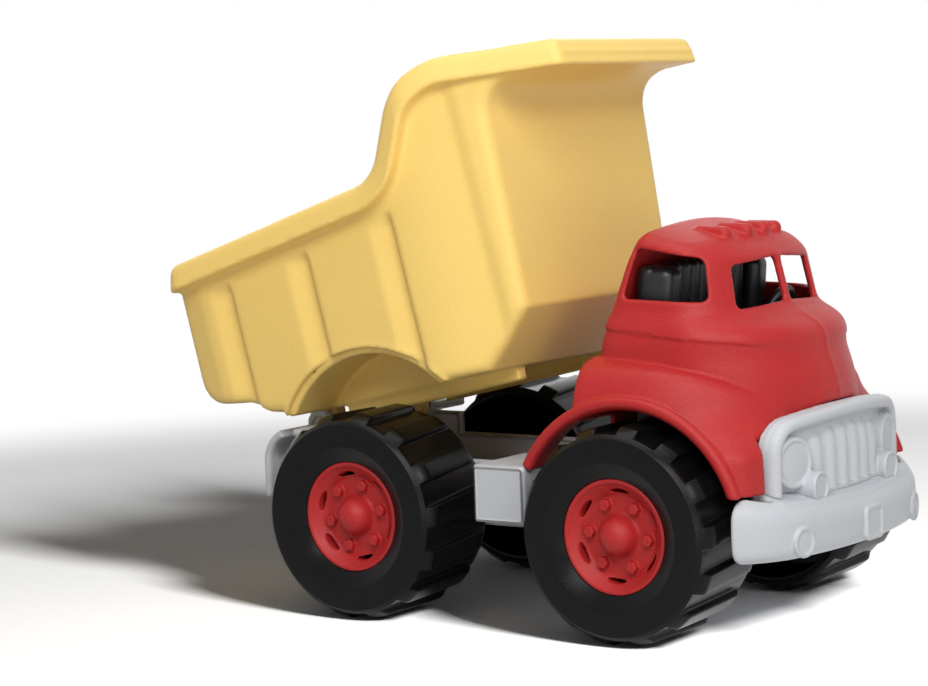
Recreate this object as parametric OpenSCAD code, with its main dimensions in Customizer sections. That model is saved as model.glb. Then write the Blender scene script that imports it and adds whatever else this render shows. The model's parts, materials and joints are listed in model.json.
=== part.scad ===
// Toy dump truck with a tipping bed, a hollow cab and two free-rolling wheelsets.
// Millimetres. X forward, Y to the left, Z up.
// Origin on the ground, on the centre plane, midway between the axles.

/* [Overall] */
// distance between the two axles
wheelbase = 120; // [105:1:140]
// width over the outer tyre faces
overall_w = 163; // [150:1:180]
// gap left between seated pieces of one body
seat_gap = 0.05; // [0.02:0.01:0.1]
// gap kept between pieces that move past each other
move_gap = 0.6; // [0.4:0.1:1.5]

/* [Wheels] */
// tyre radius over the tread lugs
tyre_r = 40.7; // [36:0.1:44]
// tyre width
tyre_w = 43; // [36:0.5:46]
// number of tread lugs round the tyre
lug_n = 14; // [8:1:20]
// height of a tread lug
lug_h = 2.6; // [1:0.1:4]
// turn of each lug off straight across
lug_skew = 7; // [0:1:15]
// tyre wall thickness
tyre_wall = 4; // [3:0.5:6]
// hub rim radius
hub_r = 21.5; // [18:0.5:25]
// depth of the hub rim behind the tyre face
hub_set = 3.3; // [1:0.1:5]
// depth of the hub dish
dish_d = 5; // [2:0.5:8]
// radius of the centre dome of the hub
dome_r = 7.4; // [5:0.1:9]
// lug bolts round the hub
bolt_n = 6; // [4:1:8]
// axle radius
axle_r = 4.5; // [3:0.1:6]
// running clearance of axles and pins, on the radius
run_fit = 0.08; // [0.03:0.01:0.1]

/* [Chassis] */
// width of the chassis tray
tray_w = 73; // [60:1:76]
// tray wall and floor thickness
tray_wall = 3.5; // [2.5:0.5:5]
// tray top above the axle
deck_h = 27.3; // [24:0.1:32]
// tray belly below the axle
belly_h = 7.2; // [6.5:0.1:9]
// length of a side step
step_len = 23; // [15:1:28]
// height of a side step
step_h = 22; // [14:1:26]
// drop of a side step below the tray top
step_drop = 5; // [2:0.5:10]
// inset of the side steps from the bumper ends
step_in = 0.5; // [0:0.5:8]
// width of the rear bumper
rear_w = 118; // [90:1:140]
// bend radius of the curled ends of the rear bumper
rear_bend = 14; // [8:0.5:18]

/* [Front] */
// width of the front bumper
bumper_w = 141; // [130:1:156]
// height of the front bumper at its back
bumper_h = 24; // [20:0.5:27]
// bumper bottom below the axle
bumper_drop = 9.2; // [5:0.1:12]
// fall of the bumper top towards the front, in degrees
bumper_fall = 18; // [8:1:22]
// bumper face ahead of the front axle
bumper_reach = 66; // [62:0.5:72]
// front to back thickness of the bumper
bumper_t = 6; // [4:0.5:9]
// bow radius of the bumper face
bumper_bow = 200; // [150:5:260]
// width of the grille
grille_w = 104; // [96:1:108]
// height of the grille
grille_h = 27; // [24:0.5:30]
// grille face ahead of the front axle
grille_reach = 58; // [55:0.5:60]
// bow radius of the grille face
grille_bow = 175; // [140:5:220]
// grille thickness
grille_t = 6; // [4:0.5:8]
// head lamp radius
lamp_r = 9.4; // [7:0.1:10]
// vertical bars in the grille
bar_n = 6; // [3:1:8]

/* [Cab] */
// cab wall thickness
cab_wall = 2.6; // [2:0.1:4]
// roof crown above the axle
cab_h = 113; // [108:0.5:120]
// half width of the cab body under the windows
cab_y = 54.5; // [50:0.5:58]
// half width over the fenders
fender_y = 68; // [64:0.5:72]
// gap between a tyre and the arch round it
arch_gap = 5.8; // [3.5:0.1:8]
// depth of the fender lip round the arch
lip_t = 4.2; // [2.5:0.1:6]
// roof marker lamps
marker_n = 4; // [2:1:6]
// spacing of the marker lamps
marker_gap = 13; // [8:0.5:16]
// width of the seat bench
seat_w = 78; // [60:1:80]
// length of the seat cushion
seat_len = 26; // [20:1:30]
// seat top above the cab floor
seat_h = 16; // [10:1:20]
// width of the dashboard
dash_w = 68; // [50:1:70]
// radius of the steering wheel
wheel_r = 9; // [6:0.5:10]

/* [Dump bed] */
// angle the bed is raised by as drawn
bed_tilt = 13; // [0:1:45]
// hinge behind the rear axle
hinge_back = 46; // [40:0.5:50]
// hinge above the axle
hinge_h = 29.3; // [28:0.1:33]
// hinge pin radius
pin_r = 3; // [2:0.1:4]
// half width of the bed sides at the bottom
bed_y = 66; // [60:0.5:70]
// outward slope of the bed sides in degrees
bed_draft = 2; // [0:0.5:4]
// bed wall thickness
bed_wall = 3.2; // [2.5:0.1:5]
// side overhang of the rim
rim_out = 6.5; // [4:0.5:10]
// height of the rim band
rim_h = 10.5; // [7:0.5:14]
// forward overhang of the rim over the front wall
canopy = 32; // [20:1:36]
// bed length behind the rear axle
tail_len = 81; // [70:1:90]
// bed floor above the axle
bed_floor = 33.3; // [31:0.1:38]
// top of the rim above the axle
bed_h = 154; // [140:1:165]
// front wall of the bed behind the front axle
wall_back = 38; // [36:0.5:46]
// depth of a groove in the bed sides
groove_d = 3; // [1:0.2:4]

/* [Hidden] */
$fn = 64;
eps = 0.01;
far = 400;
axle_z = tyre_r;
fx = wheelbase / 2;
rx = -wheelbase / 2;
face_y = overall_w / 2;
tyre_in = face_y - tyre_w;
arch_r = tyre_r + arch_gap;
lip_r = arch_r + lip_t;
tray_y = tray_w / 2;
deck_z = axle_z + deck_h;
belly_z = axle_z - belly_h;
// wheel well wall: half way between the tray side and the tyre
well_y = (tray_y + tyre_in) / 2;
bumper_z = axle_z - bumper_drop;
bumper_top = bumper_z + bumper_h;
bumper_x = fx + bumper_reach;
grille_x = fx + grille_reach;
grille_z = bumper_top + seat_gap;
step_y = bumper_w / 2 - step_in;
// front of the tray, behind the grille
nose_x = grille_x - 1.5 * grille_t - grille_fall(tray_y) - 2;
tray_x1 = nose_x - seat_gap;
// hinge axis of the bed
hinge_x = rx - hinge_back;
hinge_z = axle_z + hinge_h;
ear_wall = 3.4;
ear_r = pin_r + ear_wall;
bed_lug_w = 7;
ear_y0 = tray_y - tray_wall;
// the tray ends just clear of the turning bed lugs
tray_x0 = hinge_x - ear_r - move_gap - tray_wall;
// bed levels with the bed down
bed_z = axle_z + bed_floor;
bed_top = axle_z + bed_h;
wall_x = fx - wall_back;
tail_x = rx - tail_len;
cab_rear = -24;

// points on an arc in a plane
function arc(c, r, a0, a1, n) = [for (i = [0:n]) let(a = a0 + (a1 - a0) * i / n) c + r * [cos(a), sin(a)]];

// a rod along Y from y0 to y1
module rod_y(x, z, r, y0, y1) {
  translate([x, y1, z])
    rotate([90, 0, 0])
      cylinder(r = r, h = y1 - y0);
}

// a side outline drawn in X and Z, given a width along Y
module side(y0, y1) {
  translate([0, y1, 0])
    rotate([90, 0, 0])
      linear_extrude(y1 - y0)
        children();
}

// both sides of a thing drawn on the left
module both() {
  children();
  mirror([0, 1, 0]) children();
}

// Wheels: drawn about the Z axis with the outer face up at height zero
hub_sleeve_r = axle_r + 4;
hub_back = hub_set + dish_d;
web_t = 4;
hub_seat = hub_back + web_t;
hub_end = face_y - tray_y - move_gap;
axle_end = hub_back + 2;
bevel_share = 1.29;
tread_r = tyre_r - lug_h;
tread_chamfer = 2;
lug_slope = 5;
lug_t = PI * tyre_r / lug_n;

module tyre_body() {
  edge = 1.2;
  rotate_extrude()
    polygon([[hub_sleeve_r + seat_gap, -hub_seat - web_t], [hub_sleeve_r + seat_gap, -hub_seat - seat_gap],
      [hub_r + seat_gap, -hub_seat - seat_gap], [hub_r + seat_gap, -hub_set], [hub_r * bevel_share, 0],
      [tread_r - tread_chamfer, 0], [tread_r, -tread_chamfer], [tread_r, -tyre_w + tread_chamfer],
      [tread_r - tread_chamfer, -tyre_w], [tread_r - tyre_wall, -tyre_w],
      [tread_r - tyre_wall, -hub_seat - web_t]]);
  intersection() {
    for (i = [0:lug_n - 1])
      rotate([0, 0, i * 360 / lug_n])
        translate([tyre_r, 0, -tyre_w / 2])
          rotate([lug_skew, 0, 0])
            cube([4 * lug_h, lug_t, tyre_w * 1.3], center = true);
    rotate_extrude()
      polygon([[tread_r - edge, -edge], [tread_r + eps, -edge], [tyre_r, -edge - lug_slope],
        [tyre_r, -tyre_w + edge + lug_slope], [tread_r + eps, -tyre_w + edge],
        [tread_r - edge, -tyre_w + edge]]);
  }
}

bolt_ring = 0.6;
bolt_r = 2.3;
slot_ring = [0.7, 0.8];
slot_w = 7;
module hub_body() {
  lip = 1;
  difference() {
    union() {
      rotate_extrude()
        polygon([[0, -hub_seat], [hub_r, -hub_seat], [hub_r, -hub_set - lip], [hub_r - lip, -hub_set],
          [hub_r - 2.6 * lip, -hub_set], [hub_r - 4 * lip, -hub_back], [0, -hub_back]]);
      // sleeve over the axle
      translate([0, 0, -hub_end])
        cylinder(r = hub_sleeve_r, h = hub_end - hub_back);
      // centre dome
      intersection() {
        translate([0, 0, lip - hub_back])
          sphere(r = dome_r);
        translate([0, 0, -hub_back - lip])
          cylinder(r = dome_r + lip, h = 2 * dome_r);
      }
      for (i = [0:bolt_n - 1])
        rotate([0, 0, i * 360 / bolt_n])
          translate([hub_r * bolt_ring, 0, -hub_back - lip])
            cylinder(r = bolt_r, h = 2 * bolt_r, $fn = 6);
    }
    // axle socket
    translate([0, 0, -hub_end - eps])
      cylinder(r = axle_r + seat_gap, h = hub_end - axle_end + eps);
    // curved slots by the rim
    for (i = [0:bolt_n - 1])
      rotate([0, 0, (i + 0.5) * 360 / bolt_n])
        translate([0, 0, -hub_seat - eps])
          linear_extrude(web_t + 2 * lip)
            intersection() {
              difference() {
                circle(r = hub_r * slot_ring[1]);
                circle(r = hub_r * slot_ring[0]);
              }
              translate([0, -slot_w / 2])
                square([hub_r, slot_w]);
            }
  }
}

// place a wheel piece at an axle, facing left or right
module at_wheel(x, left) {
  translate([x, left ? face_y : -face_y, axle_z])
    rotate([left ? -90 : 90, 0, 0])
      children();
}

module axle_body(x) {
  reach = face_y - axle_end - seat_gap;
  rod_y(x, axle_z, axle_r, -reach, reach);
}

// Chassis
bearing_x = axle_r + 3.5;
bearing_h = axle_r + 4;
module tray() {
  difference() {
    union() {
      translate([tray_x0, -tray_y, belly_z])
        cube([tray_x1 - tray_x0, tray_w, deck_z - belly_z]);
      // hinge ears
      both() {
        rod_y(hinge_x, hinge_z, ear_r, ear_y0, tray_y);
        translate([hinge_x - ear_r, ear_y0, deck_z - ear_r])
          cube([2 * ear_r, tray_wall, hinge_z - deck_z + ear_r]);
      }
    }
    // open top, leaving a bearing web at each axle
    for (span = [[tray_x0 + tray_wall, rx - bearing_x], [rx + bearing_x, fx - bearing_x],
        [fx + bearing_x, tray_x1 - tray_wall]])
      translate([span[0], -ear_y0, belly_z + tray_wall])
        cube([span[1] - span[0], 2 * ear_y0, far]);
    for (x = [rx, fx]) {
      translate([x - bearing_x - 1, -ear_y0, axle_z + bearing_h])
        cube([2 * bearing_x + 2, 2 * ear_y0, far]);
      rod_y(x, axle_z, axle_r + run_fit, -far, far);
    }
    rod_y(hinge_x, hinge_z, pin_r + seat_gap, -far, far);
  }
}

// side steps hang between the tyres, under the fender tails
step_gap = 3.3;
step_x1 = fx - tyre_r - step_gap;
step_top = deck_z - step_drop;
module step_box() {
  translate([step_x1 - step_len, tray_y - eps, step_top - step_h])
    difference() {
      cube([step_len, step_y - tray_y + eps, step_h]);
      translate([tray_wall, tray_wall, -eps])
        cube([step_len - 2 * tray_wall, step_y - tray_y - 2 * tray_wall, step_h - tray_wall]);
    }
}

// rear bumper: an upright plate whose two ends curl forward over the tyres
rear_x = tray_x0 - 2;
rear_low = axle_z + 1.3;
rear_top = deck_z + 3;
module rear_bumper() {
  translate([rear_x, -tray_y, rear_low])
    cube([tray_x0 - rear_x + eps, tray_w, deck_z - rear_low]);
  both()
    difference() {
      side(tray_y - eps, rear_w / 2)
        polygon(concat([[rear_x + tray_wall, rear_low], [rear_x, rear_low]],
          arc([rear_x + rear_bend, rear_top - rear_bend], rear_bend, 180, 90, 8),
          [[rear_x + 1.4 * rear_bend, rear_top], [rear_x + 1.4 * rear_bend, rear_top - tray_wall]],
          arc([rear_x + rear_bend, rear_top - rear_bend], rear_bend - tray_wall, 90, 180, 8)));
      rod_y(rx, axle_z, arch_r, 0, far);
    }
}

module chassis_frame() {
  color("gainsboro") {
    tray();
    both() step_box();
    rear_bumper();
  }
}

// Front bumper and grille share bowed faces struck from centres on the X axis
module bow_band(x_front, bow, t, z0, z1) {
  difference() {
    translate([x_front - bow, 0, z0])
      cylinder(r = bow, h = z1 - z0, $fn = 128);
    translate([x_front - bow, 0, z0 - 1])
      cylinder(r = bow - t, h = z1 - z0 + 2, $fn = 128);
  }
}

spot_r = 5.2;
spot_y = 45;
plate_w = 14;
plate_h = 13;
// plan of the bumper, moved in by w: a shallow bow to the lights, then a tighter arc to each end
bumper_back = nose_x + 0.4;
end_a = asin(spot_y / bumper_bow);
end_from = [bumper_x - bumper_bow + bumper_bow * cos(end_a), spot_y];
end_way = [bumper_back, bumper_w / 2] - end_from;
end_r = -(end_way * end_way) / (2 * end_way * [cos(end_a), sin(end_a)]);
module bumper_plan(w) {
  intersection() {
    translate([bumper_x - bumper_bow, 0])
      circle(r = bumper_bow - w, $fn = 128);
    translate([0, -spot_y + w * sin(end_a)])
      square([far, 2 * (spot_y - w * sin(end_a))]);
  }
  for (s = [-1, 1])
    translate(end_from - end_r * [cos(end_a), sin(end_a)])
      translate([0, s < 0 ? -2 * (spot_y - end_r * sin(end_a)) : 0])
        circle(r = end_r - w);
}

// all that lies above the sloping top of the bumper, moved up by g
fall_from = 3.2;
module above_bumper(g) {
  translate([nose_x + fall_from, 0, bumper_top + g])
    rotate([0, bumper_fall, 0])
      translate([-far / 2, -far / 2, 0])
        cube(far);
}

spot_up = 0.9;
plate_up = 1.1;
module front_bumper() {
  color("gainsboro") {
    difference() {
      union() {
        translate([0, 0, bumper_z])
          linear_extrude(bumper_h)
            difference() {
              bumper_plan(0);
              bumper_plan(bumper_t);
              translate([bumper_back - far, -far / 2]) square([far, far]);
            }
        // shelf under the grille, and the pad that seats on the front of the tray
        intersection() {
          translate([bumper_x - bumper_bow, 0, 0])
            cylinder(r = bumper_bow - bumper_t / 2, h = bumper_top, $fn = 128);
          union() {
            intersection() {
              translate([nose_x, -grille_w / 2 - 2, 0])
                cube([far, grille_w + 4, far]);
              above_bumper(-bumper_t / 2);
            }
            translate([nose_x, -tray_y, belly_z])
              cube([far, tray_w, bumper_top - belly_z]);
          }
        }
      }
      above_bumper(0);
    }
    // round lights and the bare plate
    for (s = [-1, 1])
      translate([bumper_x - bumper_bow, 0, bumper_z + spot_r + spot_up])
        rotate([0, 90, s * asin(spot_y / bumper_bow)])
          translate([0, 0, bumper_bow - 2])
            cylinder(r = spot_r, h = 3.2);
    translate([bumper_x - 2, -plate_w / 2, bumper_z + plate_up])
      cube([3, plate_w, plate_h]);
  }
}

// outline of the grille seen from the front, grown by g; its skirt reaches down to the bumper
grille_skirt = 7;
module grille_face(g) {
  w = grille_w / 2 + g;
  h = grille_h + g;
  r = 15;
  polygon(concat([[-w, -grille_skirt], [w, -grille_skirt]], arc([w - r, h - r - 1], r, 0, 80, 8),
    [[0, h]], arc([-w + r, h - r - 1], r, 100, 180, 8)));
}

module facing(x0, x1) {
  translate([x0, 0, 0])
    rotate([90, 0, 90])
      linear_extrude(x1 - x0)
        children();
}

// how far the bowed grille face falls back at y
function grille_fall(y) = grille_bow - sqrt(grille_bow * grille_bow - y * y);

fog_r = 4.4;
bars_w = 58;
bar_r = 3.4;
recess = 2.6;
lamp_y = grille_w / 2 - lamp_r - 4.6;
// back of the head lamps, just inside the back of the bowed face
lamp_x = grille_x - grille_fall(lamp_y - lamp_r) - grille_t + 0.4;
// ledge under the bars, and the fog lamps, against the foot of the lamps
ledge = 1.7;
fog_drop = 1.1;
module radiator_grille() {
  pitch = (bars_w - 4) / bar_n;
  color("gainsboro")
    intersection() {
      union() {
        difference() {
          intersection() {
            bow_band(grille_x, grille_bow, grille_t, grille_z - grille_skirt, grille_z + grille_h + 1);
            translate([0, 0, grille_z]) facing(0, far) grille_face(0);
          }
          // recessed panel behind the bars
          difference() {
            translate([0, -bars_w / 2, grille_z - ledge])
              cube([far, bars_w, grille_h - 5 + ledge]);
            translate([grille_x - grille_bow, 0, 0])
              cylinder(r = grille_bow - recess, h = far, $fn = 128);
          }
        }
        // upright bars standing in the recess, flush with the back
        difference() {
          for (i = [0:bar_n - 1]) {
            y = (i - (bar_n - 1) / 2) * pitch;
            translate([grille_x - grille_fall(y) - bar_r - 0.4, y, grille_z - ledge - 1])
              cylinder(r = bar_r, h = grille_h - 3 + ledge);
          }
          translate([grille_x - grille_bow, 0, 0])
            cylinder(r = grille_bow - grille_t, h = far, $fn = 128);
        }
        for (s = [-1, 1]) {
          // head lamp
          translate([lamp_x, s * lamp_y, grille_z + lamp_r + 0.5])
            rotate([0, 90, 0]) cylinder(r = lamp_r, h = grille_t - 0.4);
          // fog lamp
          translate([grille_x - grille_t, s * bars_w / 2, grille_z - fog_drop])
            rotate([0, 90, 0]) cylinder(r = fog_r, h = grille_t + 2);
        }
      }
      above_bumper(seat_gap);
    }
}

// Cab: plan sections stacked up, each a superellipse with its own front and back roundness
// height above the axle, rear, front, half width as a share of the cab half width, roundness back, front
cab_low = bumper_top + 0.2 - axle_z;
cab_st = [
  [cab_low, cab_rear, 50, 0.92, 10, 2.6],
  [42, cab_rear, 52.6, 1.00, 10, 2.2],
  [52, cab_rear + 0.2, 51.6, 1.00, 10, 2.0],
  [62.3, cab_rear + 0.5, 47.9, 0.99, 10, 2.0],
  [68.3, cab_rear + 1, 46, 0.975, 10, 2.05],
  [72, cab_rear + 1.6, 43.6, 0.955, 10, 2.1],
  [74.8, cab_rear + 2.4, 38.6, 0.935, 10, 2.2],
  [77.3, cab_rear + 3.2, 33.4, 0.91, 10, 2.4],
  [80.3, cab_rear + 4.5, 31, 0.885, 10, 2.6],
  [cab_h - 15.7, cab_rear + 10, 26.6, 0.83, 10, 2.7],
  [cab_h - 9.2, cab_rear + 12.8, 22.5, 0.795, 10, 2.5],
  [cab_h - 6.4, cab_rear + 14, 16.5, 0.755, 10, 2.2],
  [cab_h - 4.2, cab_rear + 14.7, 8, 0.71, 10, 2.0],
  [cab_h - 2.6, cab_rear + 15.2, 1, 0.63, 9, 2.0],
  [cab_h - 1, cab_rear + 16, -3.5, 0.42, 6, 2.0],
  [cab_h - 0.1, cab_rear + 17.5, -4.8, 0.15, 4, 2.0]];
cab_seg = 72;

function cab_ring(s, w, dz) = let(r0 = s[1] + w, r1 = s[2] - w, b = s[3] * cab_y - w)
  [for (i = [0:cab_seg - 1]) let(t = 360 * i / cab_seg, n = cos(t) < 0 ? s[4] : s[5])
    [fx + (r0 + r1) / 2 + (r1 - r0) / 2 * sign(cos(t)) * pow(abs(cos(t)), 2 / n),
     b * sign(sin(t)) * pow(abs(sin(t)), 2 / n), axle_z + s[0] + dz]];

// rings of equal length skinned into a closed solid
module skin(rings) {
  m = len(rings);
  n = len(rings[0]);
  pts = [for (r = rings) each r];
  polyhedron(pts, concat([[for (i = [0:n - 1]) i]],
    [for (k = [0:m - 2]) for (i = [0:n - 1]) let(j = (i + 1) % n)
      each [[k * n + i, (k + 1) * n + i, (k + 1) * n + j], [k * n + i, (k + 1) * n + j, k * n + j]]],
    [[for (i = [n - 1:-1:0]) (m - 1) * n + i]]));
}

module cab_outer() {
  skin([for (s = cab_st) cab_ring(s, 0, 0)]);
}

module cab_inner() {
  low = cab_st[0];
  skin(concat([cab_ring([low[0] - 2, low[1], low[2], low[3], low[4], low[5]], cab_wall, 0)],
    [for (s = cab_st) if (s[0] < cab_h - 1) cab_ring(s, cab_wall, s[0] > cab_h - 10 ? -cab_wall : 0)]));
}

// fenders: one dome of superellipse plans as wide as both fenders, cut away by the wheel wells
// height above the axle, reach ahead of the dome centre, share of the fender half width, roundness
fender_mid = -10;
fender_back = 1.4;
fender_st = [[cab_low, 60, 0.995, 9], [28, 60, 0.995, 8], [35, 60, 0.995, 4], [39, 59, 0.994, 3.2],
  [44, 57.5, 0.988, 2.75], [47.3, 57.5, 0.982, 2.6], [51.2, 55.5, 0.959, 2.6], [55.3, 51, 0.92, 2.75],
  [58.5, 45.5, 0.882, 2.9], [61.8, 35, 0.826, 2.8], [63.4, 25, 0.787, 2.6]];
function fender_ring(s, w) = let(b = s[2] * fender_y - w, back = cab_rear - fender_back + w - fender_mid)
  [for (i = [0:cab_seg - 1])
    let(t = 360 * i / cab_seg, n = cos(t) < 0 ? 14 : s[3], a = cos(t) < 0 ? -back : s[1] - w)
    [fx + fender_mid + a * sign(cos(t)) * pow(abs(cos(t)), 2 / n),
     b * sign(sin(t)) * pow(abs(sin(t)), 2 / n), axle_z + s[0] - (s[0] > 40 ? w : 0)]];

module fender_dome(w) {
  low = fender_st[0];
  skin(concat(w > 0 ? [fender_ring([low[0] - 2, low[1], low[2], low[3]], w)] : [],
    [for (s = fender_st) fender_ring(s, w)]));
}

// rear end of the arch lip, behind the cab
lip_end = 153;
module fender_tail() {
  intersection() {
    difference() {
      rod_y(fx, axle_z, lip_r, fender_y - 16, fender_y);
      rod_y(fx, axle_z, arch_r - 1, 0, far);
    }
    side(0, far)
      polygon([[fx, axle_z], [fx + far * cos(lip_end), axle_z + far * sin(lip_end)],
        [fx + cab_rear * 0.6, axle_z + far], [fx + cab_rear * 0.6, axle_z + 20]]);
  }
}

// window corners: near side glass in X and Z from the front axle, and a front pane in Y and Z
side_glass = [[-6.6, 101.3], [16.4, 97.3], [19, 85.5], [-12.4, 86.3]];
front_glass = [[4.8, 95.2], [27, 93.6], [29.2, 81.4], [4.2, 83.2]];
glass_round = 2.2;
glass_lift = cab_h - 113;

module windows() {
  both() {
    hull()
      for (p = side_glass)
        rod_y(fx + p[0], axle_z + p[1] + glass_lift, glass_round, 20, far);
    hull()
      for (p = front_glass)
        translate([fx + 15, p[0], axle_z + p[1] + glass_lift])
          rotate([0, 90, 0]) cylinder(r = glass_round, h = 40);
  }
}

marker_r = 2.8;
marker_len = 11;
marker_x = fx + 16;
marker_z = axle_z + cab_h - 6;
module markers() {
  for (i = [0:marker_n - 1]) {
    y = (i - (marker_n - 1) / 2) * marker_gap;
    fall = 0.0035 * y * y;
    hull() {
      translate([marker_x - fall / 2, y, marker_z - fall])
        sphere(r = marker_r, $fn = 20);
      translate([marker_x - marker_len, y, marker_z + 3.2 - fall])
        sphere(r = marker_r * 0.6, $fn = 20);
    }
  }
}

module cab_shell() {
  color("firebrick")
    difference() {
      union() {
        difference() {
          union() {
            cab_outer();
            fender_dome(0);
          }
          cab_inner();
          fender_dome(cab_wall);
        }
        both() fender_tail();
        markers();
      }
      windows();
      // wheel wells
      both() rod_y(fx, axle_z, arch_r, well_y, far);
      // nothing below the bumper top, and the rear wall stands on the tray
      translate([-far / 2, -far / 2, axle_z - far])
        cube([far, far, far + cab_low]);
      translate([-far / 2, -tray_y - 1, axle_z - far])
        cube([far, tray_w + 2, far + deck_h + seat_gap]);
      // opening for the grille
      difference() {
        translate([0, 0, grille_z - 2]) facing(0, far) grille_face(2 + seat_gap);
        translate([grille_x - grille_bow, 0, 0])
          cylinder(r = grille_bow - grille_t - seat_gap, h = far, $fn = 128);
      }
    }
}

// Cab inside: the bench pedestal stands on the tray walls and carries the floor
cab_floor = 53;
floor_t = 3;
floor_z = axle_z + cab_floor;
seat_x0 = fx - 14;
seat_y = seat_w / 2;
back_top = 93;
back_t = 8;
rib_n = 10;
rib_r = 2.2;
module seat_bench() {
  color("dimgray") {
    translate([seat_x0, -tray_y, deck_z + seat_gap])
      cube([seat_len, tray_w, floor_z - deck_z]);
    translate([seat_x0 - 2, -seat_y - 1, floor_z])
      cube([seat_len + 16, seat_w + 2, floor_t]);
    translate([seat_x0, -seat_y, floor_z + floor_t - 1])
      cube([seat_len, seat_w, seat_h - floor_t + 1]);
    // back rest with upright ribs
    side(-seat_y, seat_y)
      polygon([[seat_x0, floor_z + floor_t], [seat_x0 + back_t, floor_z + floor_t],
        [seat_x0 + back_t + 2.5, axle_z + back_top - 1.5], [seat_x0 + back_t + 0.5, axle_z + back_top],
        [seat_x0 + back_t - 1.5, axle_z + back_top]]);
    for (i = [0:rib_n - 1])
      translate([seat_x0 + back_t + 0.6, (i / (rib_n - 1) - 0.5) * (seat_w - 10), floor_z + seat_h - 1])
        rotate([0, 5, 0])
          cylinder(r = rib_r, h = back_top - cab_floor - seat_h - 2);
  }
}

dash_ahead = 19;
dash_up = 77.5;
dash_x = fx + dash_ahead;
dash_z = axle_z + dash_up;
dash_t = 5.5;
dash_len = 17;
dash_fall = 13.5;
wheel_y = 18;
module dashboard() {
  foot = floor_z + floor_t + seat_gap;
  color("dimgray") {
    side(-dash_w / 2, dash_w / 2)
      polygon([[dash_x + 3, foot], [dash_x + dash_len, foot], [dash_x + dash_len, dash_z - dash_fall],
        [dash_x + 5, dash_z - 1.5], [dash_x, dash_z], [dash_x, dash_z - dash_t]]);
    // steering wheel on the left
    translate([dash_x - 0.5, wheel_y, dash_z - 2.5])
      rotate([0, -70, 0]) {
        rotate_extrude()
          translate([wheel_r, 0])
            circle(r = 1.6);
        cube([3, 2 * wheel_r, 2], center = true);
        translate([0, 0, -6])
          cylinder(r = 2, h = 6);
      }
  }
}

// Dump bed: drawn lowered, then tipped about the hinge
steep = 63;
incline = 5.5;
dip = 6;
bend_low = 17;
bend_top = 30;
rim_x0 = wall_x - 59.5;
rim_z0 = bed_top - 39.2;

// the rim line seen from the side, moved down by d: tail slope, dip, steep rise, crown, canopy
function rim_line(d) = let(
  c1 = [rim_x0 - bend_low * sin(incline), rim_z0 + bend_low * cos(incline)],
  e1 = c1 + bend_low * [sin(steep), -cos(steep)],
  rise = bed_top - rim_z0 - bend_low * (cos(incline) - cos(steep)) - bend_top * (1 - cos(steep)),
  q = e1 + rise / sin(steep) * [cos(steep), sin(steep)],
  c2 = q + bend_top * [sin(steep), -cos(steep)],
  tail = rim_x0 - tail_x)
  concat([[tail_x, rim_z0 - tail * tan(incline) - d / cos(incline)]],
    arc(c1, bend_low + d, 270 + incline, 270 + steep, 8),
    arc(c2, bend_top - d, 90 + steep, 90 - dip, 12),
    [let(e2 = c2 + (bend_top - d) * [sin(dip), cos(dip)]) e2 + (wall_x + canopy - e2[0]) * [1, -tan(dip)]]);

// outside of the bed seen from the side, without the rim
tail_rise = 14;
slope_h = 20.6;
slope_len = 24;
under_r = 12;
under_z = bed_top - rim_h - under_r - 4.2;
bed_low = [[tail_x + 23, bed_z + 10.3], [hinge_x - 1, bed_z + 4.5], [hinge_x + 6, bed_z + 3]];
module bed_side_outline() {
  line = rim_line(rim_h / 2);
  polygon(concat(
    [[tail_x, bed_z + tail_rise + 10], [tail_x + 2.3, bed_z + tail_rise + 3],
      [tail_x + 6.5, bed_z + tail_rise]],
    bed_low,
    [[hinge_x + 14, bed_z + 2], [wall_x - slope_len, bed_z], [wall_x - 3.4, bed_z + slope_h],
      [wall_x, under_z]],
    arc([wall_x + under_r, under_z], under_r, 180, 100, 6),
    [[wall_x + canopy - 2, bed_top - rim_h]],
    [for (i = [len(line) - 1:-1:0]) line[i]]));
}

// hollow of the bed seen from the side
module bed_hollow_outline() {
  w = bed_wall;
  polygon(concat(
    [[tail_x - w, bed_z + tail_rise + w + 2], [tail_x + 6.5, bed_z + tail_rise + w]],
    [for (p = bed_low) p + [0, w]],
    [[wall_x - slope_len - w / 2, bed_z + w], [wall_x - 3.4 - w, bed_z + slope_h + w / 4],
      [wall_x - w, under_z]],
    arc([wall_x + 1.5 * under_r, under_z], 1.5 * under_r + w, 180, 110, 8),
    [[wall_x + canopy - under_r, far], [tail_x - w, far]]));
}

// front view of the bed sides, moved in by w
module bed_front_outline(w) {
  y0 = bed_y - w;
  h = bed_top - bed_z + 20;
  y1 = y0 + h * tan(bed_draft);
  polygon([[-y0, bed_z - 1], [y0, bed_z - 1], [y1, bed_z + h], [-y1, bed_z + h]]);
}

// bevel of the front corners, leaning with the sides, moved in by w
bevel_in = 11;
bevel_turn = 17;
bevel_lean = 3.5;
module bed_bevel(w) {
  both()
    translate([wall_x, bed_y - bevel_in - w * 1.3, bed_z + slope_h])
      rotate([-bevel_lean, 0, -bevel_turn])
        translate([-bed_y, 0, -far / 2])
          cube([2 * bed_y, bed_y, far]);
}

// the rim seen from the side
module rim_band() {
  low = rim_line(rim_h);
  polygon(concat(rim_line(0), [for (i = [len(low) - 1:-1:0]) low[i]]));
}

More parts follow.
